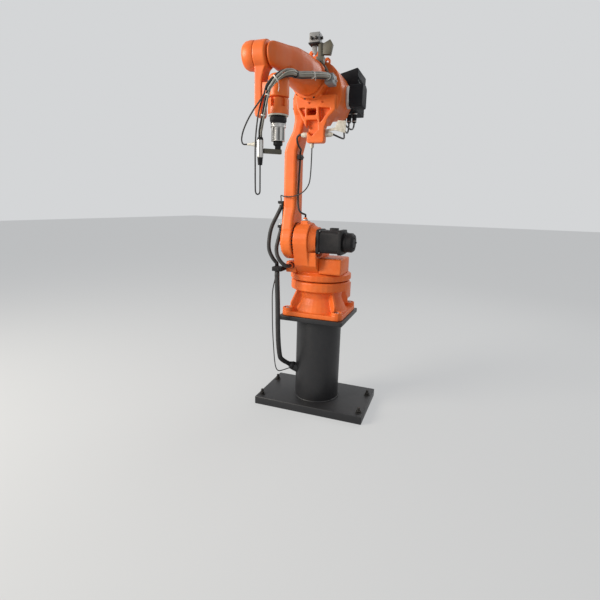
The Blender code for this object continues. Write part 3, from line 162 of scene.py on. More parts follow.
def surface_group():
    """Tone, dust and grain that every finish shares, from the piece's own place in space."""
    group = bpy.data.node_groups.new("workshop_surface", "ShaderNodeTree")
    for name, value in (("Tone Scale", 9.0), ("Grain Scale", 420.0), ("Dust", 0.3)):
        socket = group.interface.new_socket(name=name, in_out="INPUT", socket_type="NodeSocketFloat")
        socket.default_value = value
    for name in ("Tone", "Grime", "Grain"):
        group.interface.new_socket(name=name, in_out="OUTPUT", socket_type="NodeSocketFloat")
    link = group.links.new
    inputs = add_node(group, "NodeGroupInput")
    outputs = add_node(group, "NodeGroupOutput")
    place = add_node(group, "ShaderNodeTexCoord").outputs["Object"]
    tone = add_node(group, "ShaderNodeTexNoise", {"Detail": 5.0, "Roughness": 0.62})
    link(place, tone.inputs["Vector"])
    link(inputs.outputs["Tone Scale"], tone.inputs["Scale"])
    link(tone.outputs["Fac"], outputs.inputs["Tone"])
    grain = add_node(group, "ShaderNodeTexNoise", {"Detail": 2.0})
    link(place, grain.inputs["Vector"])
    link(inputs.outputs["Grain Scale"], grain.inputs["Scale"])
    link(grain.outputs["Fac"], outputs.inputs["Grain"])
    facing = add_node(group, "ShaderNodeNewGeometry")
    split = add_node(group, "ShaderNodeSeparateXYZ")
    link(facing.outputs["Normal"], split.inputs["Vector"])
    upward = add_node(group, "ShaderNodeMapRange", {"From Min": 0.35, "From Max": 1.0})
    link(split.outputs["Z"], upward.inputs["Value"])
    patch = add_node(group, "ShaderNodeTexNoise", {"Scale": 34.0, "Detail": 6.0})
    link(place, patch.inputs["Vector"])
    patches = add_node(group, "ShaderNodeMapRange", {"From Min": 0.42, "From Max": 0.72})
    link(patch.outputs["Fac"], patches.inputs["Value"])
    settle = add_node(group, "ShaderNodeMath", {1: 0.75})
    settle.operation = "MULTIPLY_ADD"
    link(upward.outputs["Result"], settle.inputs[0])
    link(patches.outputs["Result"], settle.inputs[2])
    amount = add_node(group, "ShaderNodeMath")
    amount.operation = "MULTIPLY"
    amount.use_clamp = True
    link(settle.outputs["Value"], amount.inputs[0])
    link(inputs.outputs["Dust"], amount.inputs[1])
    link(amount.outputs["Value"], outputs.inputs["Grime"])
    return group


SURFACE = surface_group()


def finish(name, colour, shade, dust_colour, rough, spread, tone_scale=9.0, grain_scale=420.0, dust=0.2,
           bump=0.2, metal=0.0, coat=0.0, coat_rough=0.15, sheen=0.5):
    """One material: two tones of its colour, dust on what faces up, and a fine grain in its bump."""
    mat = bpy.data.materials.new(name)
    mat.use_nodes = True
    tree = mat.node_tree
    link = tree.links.new
    shader = tree.nodes["Principled BSDF"]
    surface = add_node(tree, "ShaderNodeGroup")
    surface.node_tree = SURFACE
    surface.inputs["Tone Scale"].default_value = tone_scale
    surface.inputs["Grain Scale"].default_value = grain_scale
    surface.inputs["Dust"].default_value = dust
    tones = add_node(tree, "ShaderNodeValToRGB")
    for i, (position, tone) in enumerate(((0.34, shade), (0.66, colour))):
        stop = tones.color_ramp.elements[i]
        stop.position = position
        stop.color = (*tone, 1.0)
    link(surface.outputs["Tone"], tones.inputs["Fac"])
    dusty = add_node(tree, "ShaderNodeMix")
    dusty.data_type = "RGBA"
    dusty.inputs["B"].default_value = (*dust_colour, 1.0)
    link(surface.outputs["Grime"], dusty.inputs["Factor"])
    link(tones.outputs["Color"], dusty.inputs["A"])
    link(dusty.outputs["Result"], shader.inputs["Base Color"])
    polish = add_node(tree, "ShaderNodeMapRange",
                      {"From Min": 0.3, "From Max": 0.7, "To Min": rough, "To Max": rough + spread})
    link(surface.outputs["Tone"], polish.inputs["Value"])
    link(polish.outputs["Result"], shader.inputs["Roughness"])
    relief = add_node(tree, "ShaderNodeBump", {"Strength": bump, "Distance": 0.0004})
    link(surface.outputs["Grain"], relief.inputs["Height"])
    link(relief.outputs["Normal"], shader.inputs["Normal"])
    shader.inputs["Metallic"].default_value = metal
    shader.inputs["Specular IOR Level"].default_value = sheen
    shader.inputs["Coat Weight"].default_value = coat
    shader.inputs["Coat Roughness"].default_value = coat_rough
    return mat


ORANGE = finish("orange_enamel", (0.83, 0.165, 0.022), (0.72, 0.120, 0.014), (0.60, 0.27, 0.13), rough=0.40,
                spread=0.14, dust=0.10, coat=0.10, coat_rough=0.25, sheen=0.35)
MACHINED_ORANGE = finish("orange_enamel_worn", (0.76, 0.135, 0.018), (0.56, 0.080, 0.012),
                         (0.46, 0.22, 0.12), rough=0.42, spread=0.16, tone_scale=26.0, coat=0.08,
                         sheen=0.35)
PEDESTAL_BLACK = finish("pedestal_black_paint", (0.016, 0.0165, 0.019), (0.013, 0.0133, 0.015),
                        (0.060, 0.050, 0.044), rough=0.40, spread=0.12, tone_scale=3.0, dust=0.10,
                        sheen=0.45)
MOTOR_BLACK = finish("motor_black", (0.017, 0.016, 0.018), (0.011, 0.011, 0.012), (0.070, 0.060, 0.055),
                     rough=0.50, spread=0.14, tone_scale=12.0, dust=0.12, bump=0.3, sheen=0.2)
COVER_BLACK = finish("cover_black", (0.020, 0.021, 0.025), (0.015, 0.016, 0.019), (0.070, 0.064, 0.058),
                     rough=0.62, spread=0.16, tone_scale=10.0, dust=0.12, bump=0.3, sheen=0.08)
STEEL = finish("turned_steel", (0.58, 0.57, 0.55), (0.44, 0.43, 0.42), (0.34, 0.30, 0.26), rough=0.30,
               spread=0.16, tone_scale=34.0, grain_scale=900.0, dust=0.15, metal=1.0)
# Darker steel for the recessed faces of the torch's flutes: painted shade in the grooves
FLUTE_STEEL_PAINTED_SHADE = finish("flute_steel", (0.20, 0.20, 0.195), (0.13, 0.13, 0.128), (0.20, 0.17, 0.15),
                     rough=0.42, spread=0.16, tone_scale=34.0, grain_scale=900.0, dust=0.15, metal=0.8)
ZINC = finish("zinc_bolt", (0.52, 0.51, 0.49), (0.30, 0.29, 0.28), (0.22, 0.18, 0.15), rough=0.3,
              spread=0.25, tone_scale=160.0, grain_scale=1400.0, dust=0.25, metal=1.0)
DARK_BOLT = finish("black_oxide_bolt", (0.050, 0.048, 0.046), (0.022, 0.021, 0.020), (0.10, 0.08, 0.07),
                   rough=0.34, spread=0.2, tone_scale=150.0, grain_scale=1400.0, metal=0.7)
VALVE_GREY = finish("anodised_grey", (0.25, 0.255, 0.255), (0.17, 0.175, 0.178), (0.30, 0.27, 0.24),
                    rough=0.46, spread=0.16, tone_scale=40.0, dust=0.15, bump=0.25, metal=0.15)
POST_OLIVE = finish("post_dark_olive", (0.095, 0.088, 0.060), (0.055, 0.050, 0.036), (0.18, 0.15, 0.11),
                    rough=0.42, spread=0.2, tone_scale=30.0, bump=0.3)
RUBBER = finish("hose_rubber", (0.022, 0.022, 0.023), (0.012, 0.012, 0.012), (0.12, 0.10, 0.09), rough=0.52,
                spread=0.2, tone_scale=40.0, grain_scale=700.0, dust=0.18, bump=0.4)
SLEEVE = finish("grey_sleeve", (0.235, 0.220, 0.180), (0.165, 0.152, 0.124), (0.38, 0.35, 0.29), rough=0.46,
                spread=0.2, tone_scale=45.0, grain_scale=900.0, dust=0.22, bump=0.6)
# A grey hose whose paleness is partly its own grey and partly painted highlight on the bundle's lit top
HOSE_GREY_AND_PAINTED_HIGHLIGHT = finish("pale_grey_hose", (0.36, 0.35, 0.32), (0.25, 0.24, 0.215), (0.40, 0.36, 0.30),
                   rough=0.44, spread=0.2, tone_scale=45.0, grain_scale=900.0, dust=0.22, bump=0.4)
PLUG_LIGHT = finish("pale_plug", (0.66, 0.64, 0.56), (0.46, 0.43, 0.36), (0.42, 0.36, 0.29), rough=0.40,
                    spread=0.2, tone_scale=80.0, dust=0.3, bump=0.3)
TIE_WHITE = finish("white_tie", (0.78, 0.77, 0.73), (0.60, 0.58, 0.53), (0.5, 0.45, 0.38), rough=0.42,
                   spread=0.12, tone_scale=90.0)


# Lines and tubes


def catmull(points, steps):
    """A smooth line through route points."""
    points = [Vector(p) for p in points]
    line = []
    for i in range(len(points) - 1):
        b = points[i]
        c = points[i + 1]
        a = points[i - 1] if i else 2 * b - c
        d = points[i + 2] if i + 2 < len(points) else 2 * c - b
        for k in range(steps):
            t = k / steps
            line.append(0.5 * (2 * b + (c - a) * t + (2 * a - 5 * b + 4 * c - d) * t * t
                               + (3 * b - a - 3 * c + d) * t ** 3))
    line.append(points[-1])
    return line


def evenly(line, gap):
    """The same line, as points a steady distance apart."""
    run = [0.0]
    for a, b in zip(line, line[1:]):
        run.append(run[-1] + (b - a).length)
    count = max(4, round(run[-1] / gap))
    points = []
    at = 0
    for i in range(count + 1):
        want = run[-1] * i / count
        while at < len(line) - 2 and run[at + 1] < want:
            at += 1
        share = (want - run[at]) / (run[at + 1] - run[at])
        points.append(line[at].lerp(line[at + 1], min(share, 1.0)))
    return points


def lead(face, direction, reach):
    """Two points straight out of a fitting's face."""
    face = Vector(face)
    step = Vector(direction).normalized()
    return [face + step * SEAT_GAP, face + step * reach]


def route_between(start, middle, end):
    """Route points from one fitting to another, whose lead is given from its own face outwards."""
    return start + [Vector(p) for p in middle] + list(reversed(end))


def cord_line(route, gap):
    """A cord's line: straight in both leads and smooth between, with points a steady distance apart."""
    between = catmull(route, CURVE_STEPS)[CURVE_STEPS:-CURVE_STEPS]
    return [Vector(route[0])] + evenly(between, gap) + [Vector(route[-1])]


def tube(name, points, radius_at, sides, mat):
    """A closed tube round a line of points, its rings carried along without twist."""
    last = len(points) - 1
    verts = []
    faces = []
    tangents = [(points[min(i + 1, last)] - points[max(i - 1, 0)]).normalized() for i in range(last + 1)]
    side = tangents[0].orthogonal().normalized()
    for i, (point, tangent) in enumerate(zip(points, tangents)):
        side = (side - tangent * side.dot(tangent)).normalized()
        up = tangent.cross(side)
        for k in range(sides):
            angle = 2 * math.pi * k / sides
            verts.append(point + (side * math.cos(angle) + up * math.sin(angle)) * radius_at(i))
    for i in range(last):
        for k in range(sides):
            n = (k + 1) % sides
            faces.append((i * sides + k, i * sides + n, (i + 1) * sides + n, (i + 1) * sides + k))
    faces.append(tuple(range(sides - 1, -1, -1)))
    faces.append(tuple(last * sides + k for k in range(sides)))
    mesh = bpy.data.meshes.new(name)
    mesh.from_pydata([tuple(v) for v in verts], [], faces)
    mesh.materials.append(mat)
    for face in mesh.polygons[:-2]:
        face.use_smooth = True
    return new_object(name, mesh)


def plain_wall(radius):
    return lambda i: radius


def ribbed_wall(radius):
    """A corrugated wall: every other ring stands back."""
    return lambda i: radius - (RIB_DEPTH if i % 2 else 0.0)


# Shaping by hand


def select_only(piece):
    bpy.ops.object.select_all(action="DESELECT")
    piece.select_set(True)
    bpy.context.view_layer.objects.active = piece


def leave_edit():
    bpy.ops.object.mode_set(mode="OBJECT")


def select_faces(piece, test):
    """Selects, in edit mode, the faces whose middle and normal pass a test."""
    select_only(piece)
    bpy.ops.object.mode_set(mode="EDIT")
    bpy.ops.mesh.select_mode(type="FACE")
    bpy.ops.mesh.select_all(action="DESELECT")
    leave_edit()
    for face in piece.data.polygons:
        face.select = test(face.center, face.normal)
    bpy.ops.object.mode_set(mode="EDIT")


def select_top(piece):
    select_faces(piece, lambda middle, normal: normal.z > 0.9)


def apply_modifiers(piece):
    select_only(piece)
    for modifier in list(piece.modifiers):
        bpy.ops.object.modifier_apply(modifier=modifier.name)


def break_edges(piece, width, segments=1, angle=40):
    """Bevels every edge sharper than the angle."""
    modifier = piece.modifiers.new("edge", "BEVEL")
    modifier.width = width
    modifier.segments = segments
    modifier.limit_method = "ANGLE"
    modifier.angle_limit = math.radians(angle)
    apply_modifiers(piece)


def smooth(piece, angle=30):
    """Shades round faces smooth, up to the angle between them."""
    select_only(piece)
    bpy.ops.object.shade_smooth_by_angle(angle=math.radians(angle))
    piece.select_set(False)


def use_material(piece, mat):
    piece.data.materials.clear()
    piece.data.materials.append(mat)


def turned_blank(name, sides, radius, low, high):
    """A round or hexagonal blank on the Z axis, with its place in its mesh."""
    bpy.ops.object.select_all(action="DESELECT")
    bpy.ops.mesh.primitive_cylinder_add(vertices=sides, radius=radius, depth=high - low,
                                        location=(0, 0, (low + high) / 2))
    piece = bpy.context.object
    piece.name = name
    bpy.ops.object.transform_apply(location=True, rotation=False, scale=False)
    return piece


def flat_blank(name, centre, size):
    """A plate with its place in its mesh and its edges broken."""
    bpy.ops.object.select_all(action="DESELECT")
    bpy.ops.mesh.primitive_cube_add(size=1, location=centre, scale=size)
    piece = bpy.context.object
    piece.name = name
    bpy.ops.object.transform_apply(location=True, rotation=False, scale=True)
    break_edges(piece, 0.0012, segments=2)
    return piece


def join_pieces(pieces, name):
    """Several meshes made one piece."""
    bpy.ops.object.select_all(action="DESELECT")
    for piece in pieces:
        piece.select_set(True)
    bpy.context.view_layer.objects.active = pieces[0]
    if len(pieces) > 1:
        bpy.ops.object.join()
    pieces[0].name = name
    pieces[0].data.name = name
    pieces[0].select_set(False)
    return pieces[0]


# Hoses and cables


def hose(name, node, route, diameter, step, sides, wall=plain_wall):
    """A black hose or cable on its route between two bodies, its rings a step of so many diameters apart."""
    line = cord_line(route, diameter * step)
    piece = tube(name, line, wall(diameter / 2), sides, RUBBER)
    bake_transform(piece)
    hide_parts(node)


def across(line, i):
    """The way along a line at one point, and two ways square to it that hold steady from end to end."""
    along = (line[min(i + 1, len(line) - 1)] - line[max(i - 1, 0)]).normalized()
    side = Vector((0, 1, 0.15))
    side = (side - along * side.dot(along)).normalized()
    return along, side, side.cross(along)


def strand(name, line, spread, offset, diameter, angle, mat, sides):
    """One hose of a bundle, laid beside the bundle's own line."""
    points = []
    for i, point in enumerate(line):
        _, side, under = across(line, i)
        points.append(point + (side * math.cos(angle) + under * math.sin(angle)) * offset * spread[i])
    return tube(name, points, plain_wall(diameter / 2), sides, mat)


def nearest(line, share):
    """The point of a line at a share of its length."""
    return round(share * (len(line) - 1))


def band(name, line, i, radius, width, mat):
    """A cable tie or a wrap: a thin band round the bundle at one place on its line."""
    along = across(line, i)[0]
    return tube(name, [line[i] + along * width * k for k in (-0.5, 0.5)], plain_wall(radius), 20, mat)


def tie_tail(line, i, radius, hang):
    """The free end of a tie, hanging from its buckle."""
    _, side, under = across(line, i)
    out = (side * 0.9 + under * 0.45).normalized()
    start = line[i] + out * radius
    bend = [start]
    for reach, slip, low in ((0.005, 0.00, 0.13), (0.008, 0.07, 0.52), (0.006, 0.16, 1.0)):
        bend.append(start + out * reach * min(hang / LONG_TAIL, 1) + Vector((slip, 0, -low)) * hang)
    return tube("tie_tail", catmull(bend, 6), plain_wall(TAIL_R), 6, TIE_WHITE)


def spread_between(count, held):
    """How far a bundle's strands stand apart: close where they are held, looser between."""
    spread = []
    for i in range(count):
        t = i / (count - 1)
        low = max(place for place in held if place <= t)
        high = min(place for place in held if place >= t)
        gap = high - low
        spread.append(1 + LOOSENESS * gap * math.sin(math.pi * (t - low) / gap) if gap else 1.0)
    return spread


def eased(first, second, reach=8, rounds=10):
    """Two lengths that meet, with the bend where they meet eased."""
    line = evenly(first + second[1:], BUNDLE_GAP)
    meet = min(range(len(line)), key=lambda i: (line[i] - first[-1]).length)
    for _ in range(rounds):
        before = list(line)
        for i in range(meet - reach, meet + reach + 1):
            line[i] = before[i] * 0.5 + (before[i - 1] + before[i + 1]) * 0.25
    return line[:meet + 1], line[meet:]


# Each strand's place from the bundle's middle, thickness, turn round it in radians, finish and sides
STRANDS = (
    ("hose_sleeved", 0.0062, 0.0135, 0.50, SLEEVE, 16),
    ("hose_low", 0.0078, 0.0110, 2.55, RUBBER, 14),
    ("hose_far", 0.0082, 0.0098, 4.15, RUBBER, 12),
    # The top strand's pale grey is partly its own colour and partly painted highlight where light falls on
    # the bundle's top
    ("hose_top", 0.0102, 0.0074, 5.45, HOSE_GREY_AND_PAINTED_HIGHLIGHT, 12),
    ("wire_front", 0.0128, 0.0034, 6.12, PLUG_LIGHT, 8),
    ("wire_low", 0.0120, 0.0038, 1.60, RUBBER, 8),
)


def bundle(name, node, line, ties, wraps=(), tails=(), diameter=BUNDLE_D):
    """One length of the torch's hoses and wires, held by white ties and black wraps at shares of its line."""
    size = diameter / BUNDLE_D
    spread = spread_between(len(line), sorted({0.0, 1.0, *ties, *wraps}))
    parts = [strand(part, line, spread, offset * size, thick * size, angle, mat, sides)
             for part, offset, thick, angle, mat, sides in STRANDS]
    parts += [band("tie", line, nearest(line, at), TIE_R * size, TIE_WIDTH, TIE_WHITE) for at in ties]
    parts += [band("wrap", line, nearest(line, at), TIE_R * size, WRAP_WIDTH, RUBBER) for at in wraps]
    piece = join_pieces(parts, name)
    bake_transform(piece)
    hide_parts(node)
    if tails:
        ends = [tie_tail(line, nearest(line, at), BUCKLE_R * size, hang) for at, hang in tails]
        ends = join_pieces(ends, name + "_tie_tails")
        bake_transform(ends)


def around(angle, radius, height):
    """A place round the pedestal's column."""
    return Vector((math.cos(angle) * radius, math.sin(angle) * radius, height))


def gland_line():
    """The middle of the hose gland's outer face, and the way it points."""
    out = around(GLAND_TURN, math.cos(GLAND_TILT), math.sin(GLAND_TILT))
    return around(GLAND_TURN, COLUMN_R, 0.225) + out * 0.048, out


def hang_floor_hoses():
    """The main hose and the ground wire, from the pedestal up to the swivel's clamp."""
    face, out = gland_line()
    route = route_between(
        lead(face, out, 0.030),
        [(0.153, -0.182, 0.302), (0.190, -0.175, 0.345), (0.222, -0.168, 0.405), (0.238, -0.166, 0.48),
         (0.240, -0.168, 0.57), (0.236, -0.172, 0.66), (0.232, -0.177, 0.74)],
        lead((0.227, -0.182, CLAMP_LOW_Z), MINUS_Z, 0.030))
    hose("main_hose_corrugated", "main_hose", route, 0.028,
         step=RIB_STEP, sides=20, wall=ribbed_wall)
    route = route_between(
        lead(around(STUD_TURN, COLUMN_R + 0.022, STUD_Z), around(STUD_TURN, 1, 0), 0.014),
        [(0.080, -0.206, 0.192), (0.118, -0.214, 0.205), (0.152, -0.214, 0.240), (0.186, -0.208, 0.30),
         (0.210, -0.204, 0.38), (0.226, -0.204, 0.48), (0.222, -0.210, 0.60), (0.212, -0.214, 0.72)],
        lead((0.198, -0.198, CLAMP_LOW_Z), MINUS_Z, 0.020))
    hose("ground_wire_insulated", "ground_wire", route, 0.006, step=0.9, sides=10)


def hang_arm_hoses():
    """The two conduits past the shoulder, and the harness and the cable from the lower arm to the elbow."""
    route = route_between(
        lead((0.204, -0.194, CLAMP_TOP_Z), PLUS_Z, 0.014),
        [(0.212, -0.216, 0.905), (0.212, -0.238, 0.95), (0.208, -0.240, 1.01), (0.202, -0.228, 1.075),
         (0.196, -0.198, 1.14)],
        lead((BRACKET_MID_X, BRACKET_HANG_Y, BRACKET_HIGH_Z - 0.014), MINUS_Z, 0.014))
    hose("arm_conduit_outer_corrugated", "arm_conduit_outer", route, 0.022,
         step=RIB_STEP, sides=18, wall=ribbed_wall)
    route = route_between(
        lead((0.195, SIDE_GLAND_Y, SIDE_GLAND_Z), PLUS_X, 0.016),
        [(0.236, -0.130, 0.872), (0.246, -0.152, 0.892), (0.242, -0.176, 0.925), (0.226, -0.188, 0.965),
         (0.206, -0.186, 1.01)],
        lead((BRACKET_MID_X + 0.004, BRACKET_HANG_Y, BRACKET_LOW_Z), MINUS_Z, 0.012))
    hose("arm_conduit_inner_corrugated", "arm_conduit_inner", route, 0.022,
         step=RIB_STEP, sides=18, wall=ribbed_wall)
    clip_x = 0.179
    clip_y = -0.0817
    route = route_between(
        lead((0.170, -0.046, 1.130), PLUS_Z, 0.014),
        [(0.190, -0.060, 1.152), (0.196, -0.074, 1.168), (0.192, -0.082, 1.20), (0.186, -0.085, 1.25),
         (0.181, -0.084, 1.34)],
        lead((clip_x, clip_y, 1.423), MINUS_Z, 0.020))
    hose("arm_harness_cable", "arm_harness", route, 0.010, step=0.6, sides=12)
    route = route_between(
        lead((clip_x, clip_y, 1.447), PLUS_Z, 0.012),
        [(0.196, -0.072, 1.470), (0.222, -0.068, 1.474), (0.248, -0.070, 1.490), (0.266, -0.068, 1.515)],
        lead((0.270, -0.044, 1.528), MINUS_Y, 0.012))
    hose("elbow_harness_cable", "elbow_harness", route, 0.010, step=0.5, sides=12)
    route = route_between(
        lead((BRACKET_MID_X + 0.006, BRACKET_HANG_Y, BRACKET_HIGH_Z), PLUS_Z, 0.012),
        [(0.212, -0.172, 1.240), (0.222, -0.150, 1.236), (0.226, -0.112, 1.235), (0.230, -0.066, 1.246),
         (0.238, -0.030, 1.268), (0.246, -0.006, 1.30), (0.256, 0.004, 1.34), (0.266, 0.010, 1.40)],
        lead((0.270, 0.012, 1.466), MINUS_Z, 0.020))
    hose("elbow_cable_insulated", "elbow_cable", route, 0.006, step=0.8, sides=10)


def hang_torch_hoses():
    """The torch's hose bundle in three lengths, the sensor wire and the loop under the connector."""
    route = route_between(
        lead((0.352, 0.1083, ROLL_Z - 0.012), PLUS_X, 0.020),
        [(0.400, 0.108, 1.747), (0.445, 0.100, 1.738), (0.500, 0.086, 1.725), (0.560, 0.070, 1.711)],
        lead(TIE_1, -ALONG_1, 0.020))
    onward = route_between(
        lead(TIE_1, ALONG_1, 0.020),
        [(0.676, 0.053, 1.690), (0.709, 0.038, 1.677), (0.727, 0.010, 1.653)],
        lead(TIE_2, -ALONG_2, 0.014))
    upper, middle = eased(cord_line(route, BUNDLE_GAP), cord_line(onward, BUNDLE_GAP))
    bundle("torch_bundle_upper_hoses", "torch_bundle_upper", upper,
           ties=(0.06, 0.56), wraps=(0.985,), tails=((0.56, 0.017),))
    bundle("torch_bundle_middle_hoses", "torch_bundle_middle", middle,
           ties=(0.70,), tails=((0.70, 0.031),))
    route = route_between(
        lead(TIE_2 + ACROSS_2 * 0.005, ALONG_2, 0.014),
        [(0.725, -0.026, 1.575), (0.719, -0.038, 1.535), (0.709, -0.051, 1.500)],
        lead(SIDE + Vector((0, 0, 0.050)), PLUS_Z, 0.022))
    bundle("torch_bundle_end_hoses", "torch_bundle_end", cord_line(route, BUNDLE_GAP),
           ties=(0.03, 0.55), diameter=0.018)
    route = route_between(
        lead(TIE_2 - ACROSS_2 * 0.004 + Vector((0.009, 0, 0)), ALONG_2, 0.012),
        [(0.738, -0.040, 1.585), (0.736, -0.070, 1.552), (0.730, -0.100, 1.515), (0.722, -0.124, 1.478),
         (0.712, -0.137, 1.448), (0.704, -0.136, 1.431)],
        lead((SIDE.x, -0.116, SIDE.z + 0.025), MINUS_Y, 0.010))
    hose("sensor_wire_insulated", "sensor_wire", route, 0.006, step=0.8, sides=10)
    route = route_between(
        lead(TIE_2 - ACROSS_2 * 0.0095, ALONG_2, 0.014),
        [(0.7285, -0.043, 1.578), (0.7265, -0.056, 1.535), (0.7245, -0.064, 1.490), (0.7245, -0.068, 1.450),
         (0.7245, -0.070, 1.400), (0.7240, -0.070, 1.345), (0.7238, -0.0700, 1.302),
         (0.7236, -0.0698, 1.273), (0.7234, -0.0696, 1.2565), (0.7230, -0.0693, 1.2455),
         (0.7196, -0.0679, 1.2366), (0.7116, -0.0647, 1.2330), (0.7034, -0.0614, 1.2366),
         (0.7002, -0.0601, 1.2455), (0.700, -0.060, 1.2565), (0.700, -0.060, 1.273), (0.700, -0.060, 1.300)],
        lead(SIDE - Vector((0, 0, 0.055)), MINUS_Z, 0.014))
    hose("tool_loop_cable", "tool_loop", route, 0.006, step=0.8, sides=10)


hang_floor_hoses()
hang_arm_hoses()
hang_torch_hoses()


# Castings and machined pieces


def work_copy(node):
    """A CAD node's shape as a piece of its own, with its triangles joined up."""
    piece = new_object(node + "_finished", NODES[node].data.copy())
    select_only(piece)
    bpy.ops.object.mode_set(mode="EDIT")
    bpy.ops.mesh.select_all(action="SELECT")
    bpy.ops.mesh.remove_doubles(threshold=0.00002)
    bpy.ops.mesh.normals_make_consistent(inside=False)
    leave_edit()
    return piece


def machined(node, mat, edge):
    """A CAD node with its edges broken and its round faces smooth."""
    piece = work_copy(node)
    bpy.ops.object.mode_set(mode="EDIT")
    bpy.ops.mesh.select_all(action="SELECT")
    bpy.ops.mesh.dissolve_limited(angle_limit=math.radians(1.0))
    leave_edit()
    break_edges(piece, edge, segments=2, angle=32)
    smooth(piece)
    use_material(piece, mat)
    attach(piece, BODY_OF[node])
    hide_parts(node)
    return piece


def cast(node, voxel=0.0026, rounds=6):
    """A CAD node with the soft, rounded edges of a casting."""
    piece = work_copy(node)
    remesh = piece.modifiers.new("skin", "REMESH")
    remesh.mode = "VOXEL"
    remesh.voxel_size = voxel
    remesh.use_smooth_shade = True
    relax = piece.modifiers.new("relax", "SMOOTH")
    relax.factor = 0.5
    relax.iterations = rounds
    apply_modifiers(piece)
    use_material(piece, ORANGE)
    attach(piece, BODY_OF[node])
    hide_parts(node)


for casting in ("robot_base", "swivel_column", "lower_arm", "elbow_casting", "wrist_hub"):
    cast(casting)
cast("forearm", voxel=0.0030, rounds=30)
for look, edge_width, names in (
        (ORANGE, 0.0014, ("swivel_side_block", "swivel_motor_housing", "shoulder_motor_adapter", "wrist_cap",
                          "roll_housing", "tool_flange")),
        (PEDESTAL_BLACK, 0.0010, ("pedestal_base_plate", "pedestal_column", "pedestal_top_plate")),
        (MOTOR_BLACK, 0.0010, ("shoulder_motor", "shoulder_motor_cap", "roll_motor", "collision_sensor",
                               "torch_neck", "column_hose_clamp", "arm_harness_clip", "arm_hose_bracket")),
        (COVER_BLACK, 0.0012, ("drive_cover", "elbow_motor")),
        (STEEL, 0.0006, ("elbow_motor_ring",)),
        (VALVE_GREY, 0.0010, ("valve_block", "bundle_clamp")),
        (POST_OLIVE, 0.0008, ("cable_post", "torch_bracket")),
        (PLUG_LIGHT, 0.0006, ("junction_plate", "elbow_bottom_plug", "elbow_side_plug"))):
    for cad_name in names:
        machined(cad_name, look, edge_width)


# Fasteners, each kind modelled once and copied


def washer(radius, thick):
    piece = turned_blank("washer", sides=20, radius=radius, low=0, high=thick)
    break_edges(piece, thick * 0.3)
    return piece


def hex_head(radius, height, foot):
    """A hexagonal screw head on its washer."""
    head = turned_blank("head", sides=6, radius=radius, low=foot, high=foot + height)
    select_top(head)
    bpy.ops.mesh.inset(thickness=radius * 0.12)
    bpy.ops.transform.translate(value=(0, 0, height * 0.10))
    leave_edit()
    break_edges(head, radius * 0.05)
    return join_pieces([head, washer(radius * 1.28, foot)], "hex_head")


def socket_head(radius, height):
    """A round screw head with a socket in its top."""
    head = turned_blank("head", sides=18, radius=radius, low=-height * 0.3, high=height)
    select_top(head)
    bpy.ops.mesh.inset(thickness=radius * 0.14)
    bpy.ops.transform.translate(value=(0, 0, height * 0.06))
    bpy.ops.mesh.inset(thickness=radius * 0.34)
    bpy.ops.mesh.extrude_region_move(TRANSFORM_OT_translate={"value": (0, 0, -height * 0.55)})
    leave_edit()
    return head


def hex_nut(radius, height):
    """A nut that sits round a gland or a stud."""
    nut = turned_blank("nut", sides=6, radius=radius, low=0, high=height)
    for side in (1, -1):
        select_faces(nut, lambda middle, normal: normal.z * side > 0.9)
        bpy.ops.mesh.inset(thickness=radius * 0.10)
        bpy.ops.transform.translate(value=(0, 0, height * 0.08 * side))
        leave_edit()
    break_edges(nut, radius * 0.04)
    return nut


def anchor_stud(radius, height):
    """A floor anchor: a threaded stud with its nut and washer."""
    foot = 0.003
    stud = turned_blank("stud", sides=14, radius=radius, low=-0.001, high=height)
    select_top(stud)
    bpy.ops.mesh.inset(thickness=radius * 0.25)
    bpy.ops.transform.translate(value=(0, 0, radius * 0.25))
    leave_edit()
    nut = hex_nut(radius * 1.75, radius * 1.5)
    nut.data.transform(Matrix.Translation((0, 0, foot)))
    return join_pieces([stud, nut, washer(radius * 2.4, foot)], "anchor_stud")


def fasten(name, master, spots, mat, body):
    """Copies of one fastener, each at a place and pointing a way, as one piece."""
    copies = []
    for place, way in spots:
        mesh = master.data.copy()
        turn = Vector(way).normalized().to_track_quat("Z", "Y").to_matrix().to_4x4()
        mesh.transform(Matrix.Translation(place) @ turn)
        copies.append(new_object(name, mesh))
    piece = join_pieces(copies, name)
    use_material(piece, mat)
    smooth(piece, angle=32)
    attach(piece, body)


def drop(master):
    """Takes away the pattern that the copies were made from."""
    bpy.data.objects.remove(master, do_unlink=True)


def ring_spots(centre, axis, radius, count, first, step=None):
    """Places in a circle round an axis, all pointing along it, from the first angle in degrees."""
    axis = Vector(axis)
    upright = Vector(PLUS_Z) if abs(axis.z) < 0.5 else Vector(PLUS_X)
    other = axis.cross(upright)
    spots = []
    for i in range(count):
        angle = math.radians(first + (step or 360 / count) * i)
        out = upright * math.cos(angle) + other * math.sin(angle)
        spots.append((Vector(centre) + out * radius, axis))
    return spots


def corner_spots(centre, half_u, half_v, u, v, way):
    """The four corners of a rectangle."""
    u = Vector(u)
    v = Vector(v)
    return [(Vector(centre) + u * half_u * i + v * half_v * j, way) for i in (-1, 1) for j in (-1, 1)]


def weld_bead(name, radius, height, thick, seed):
    """The uneven bead of weld round the column."""
    bpy.ops.object.select_all(action="DESELECT")
    bpy.ops.mesh.primitive_torus_add(major_segments=150, minor_segments=8, major_radius=radius,
                                     minor_radius=thick, location=(0, 0, height))
    bead = bpy.context.object
    bead.name = name
    bpy.ops.object.transform_apply(location=True, rotation=True, scale=False)
    select_faces(bead, lambda middle, normal: True)
    bpy.ops.transform.vertex_random(offset=thick * 0.16, seed=seed)
    leave_edit()
    smooth(bead, angle=60)
    use_material(bead, PEDESTAL_BLACK)
    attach(bead, "pedestal")


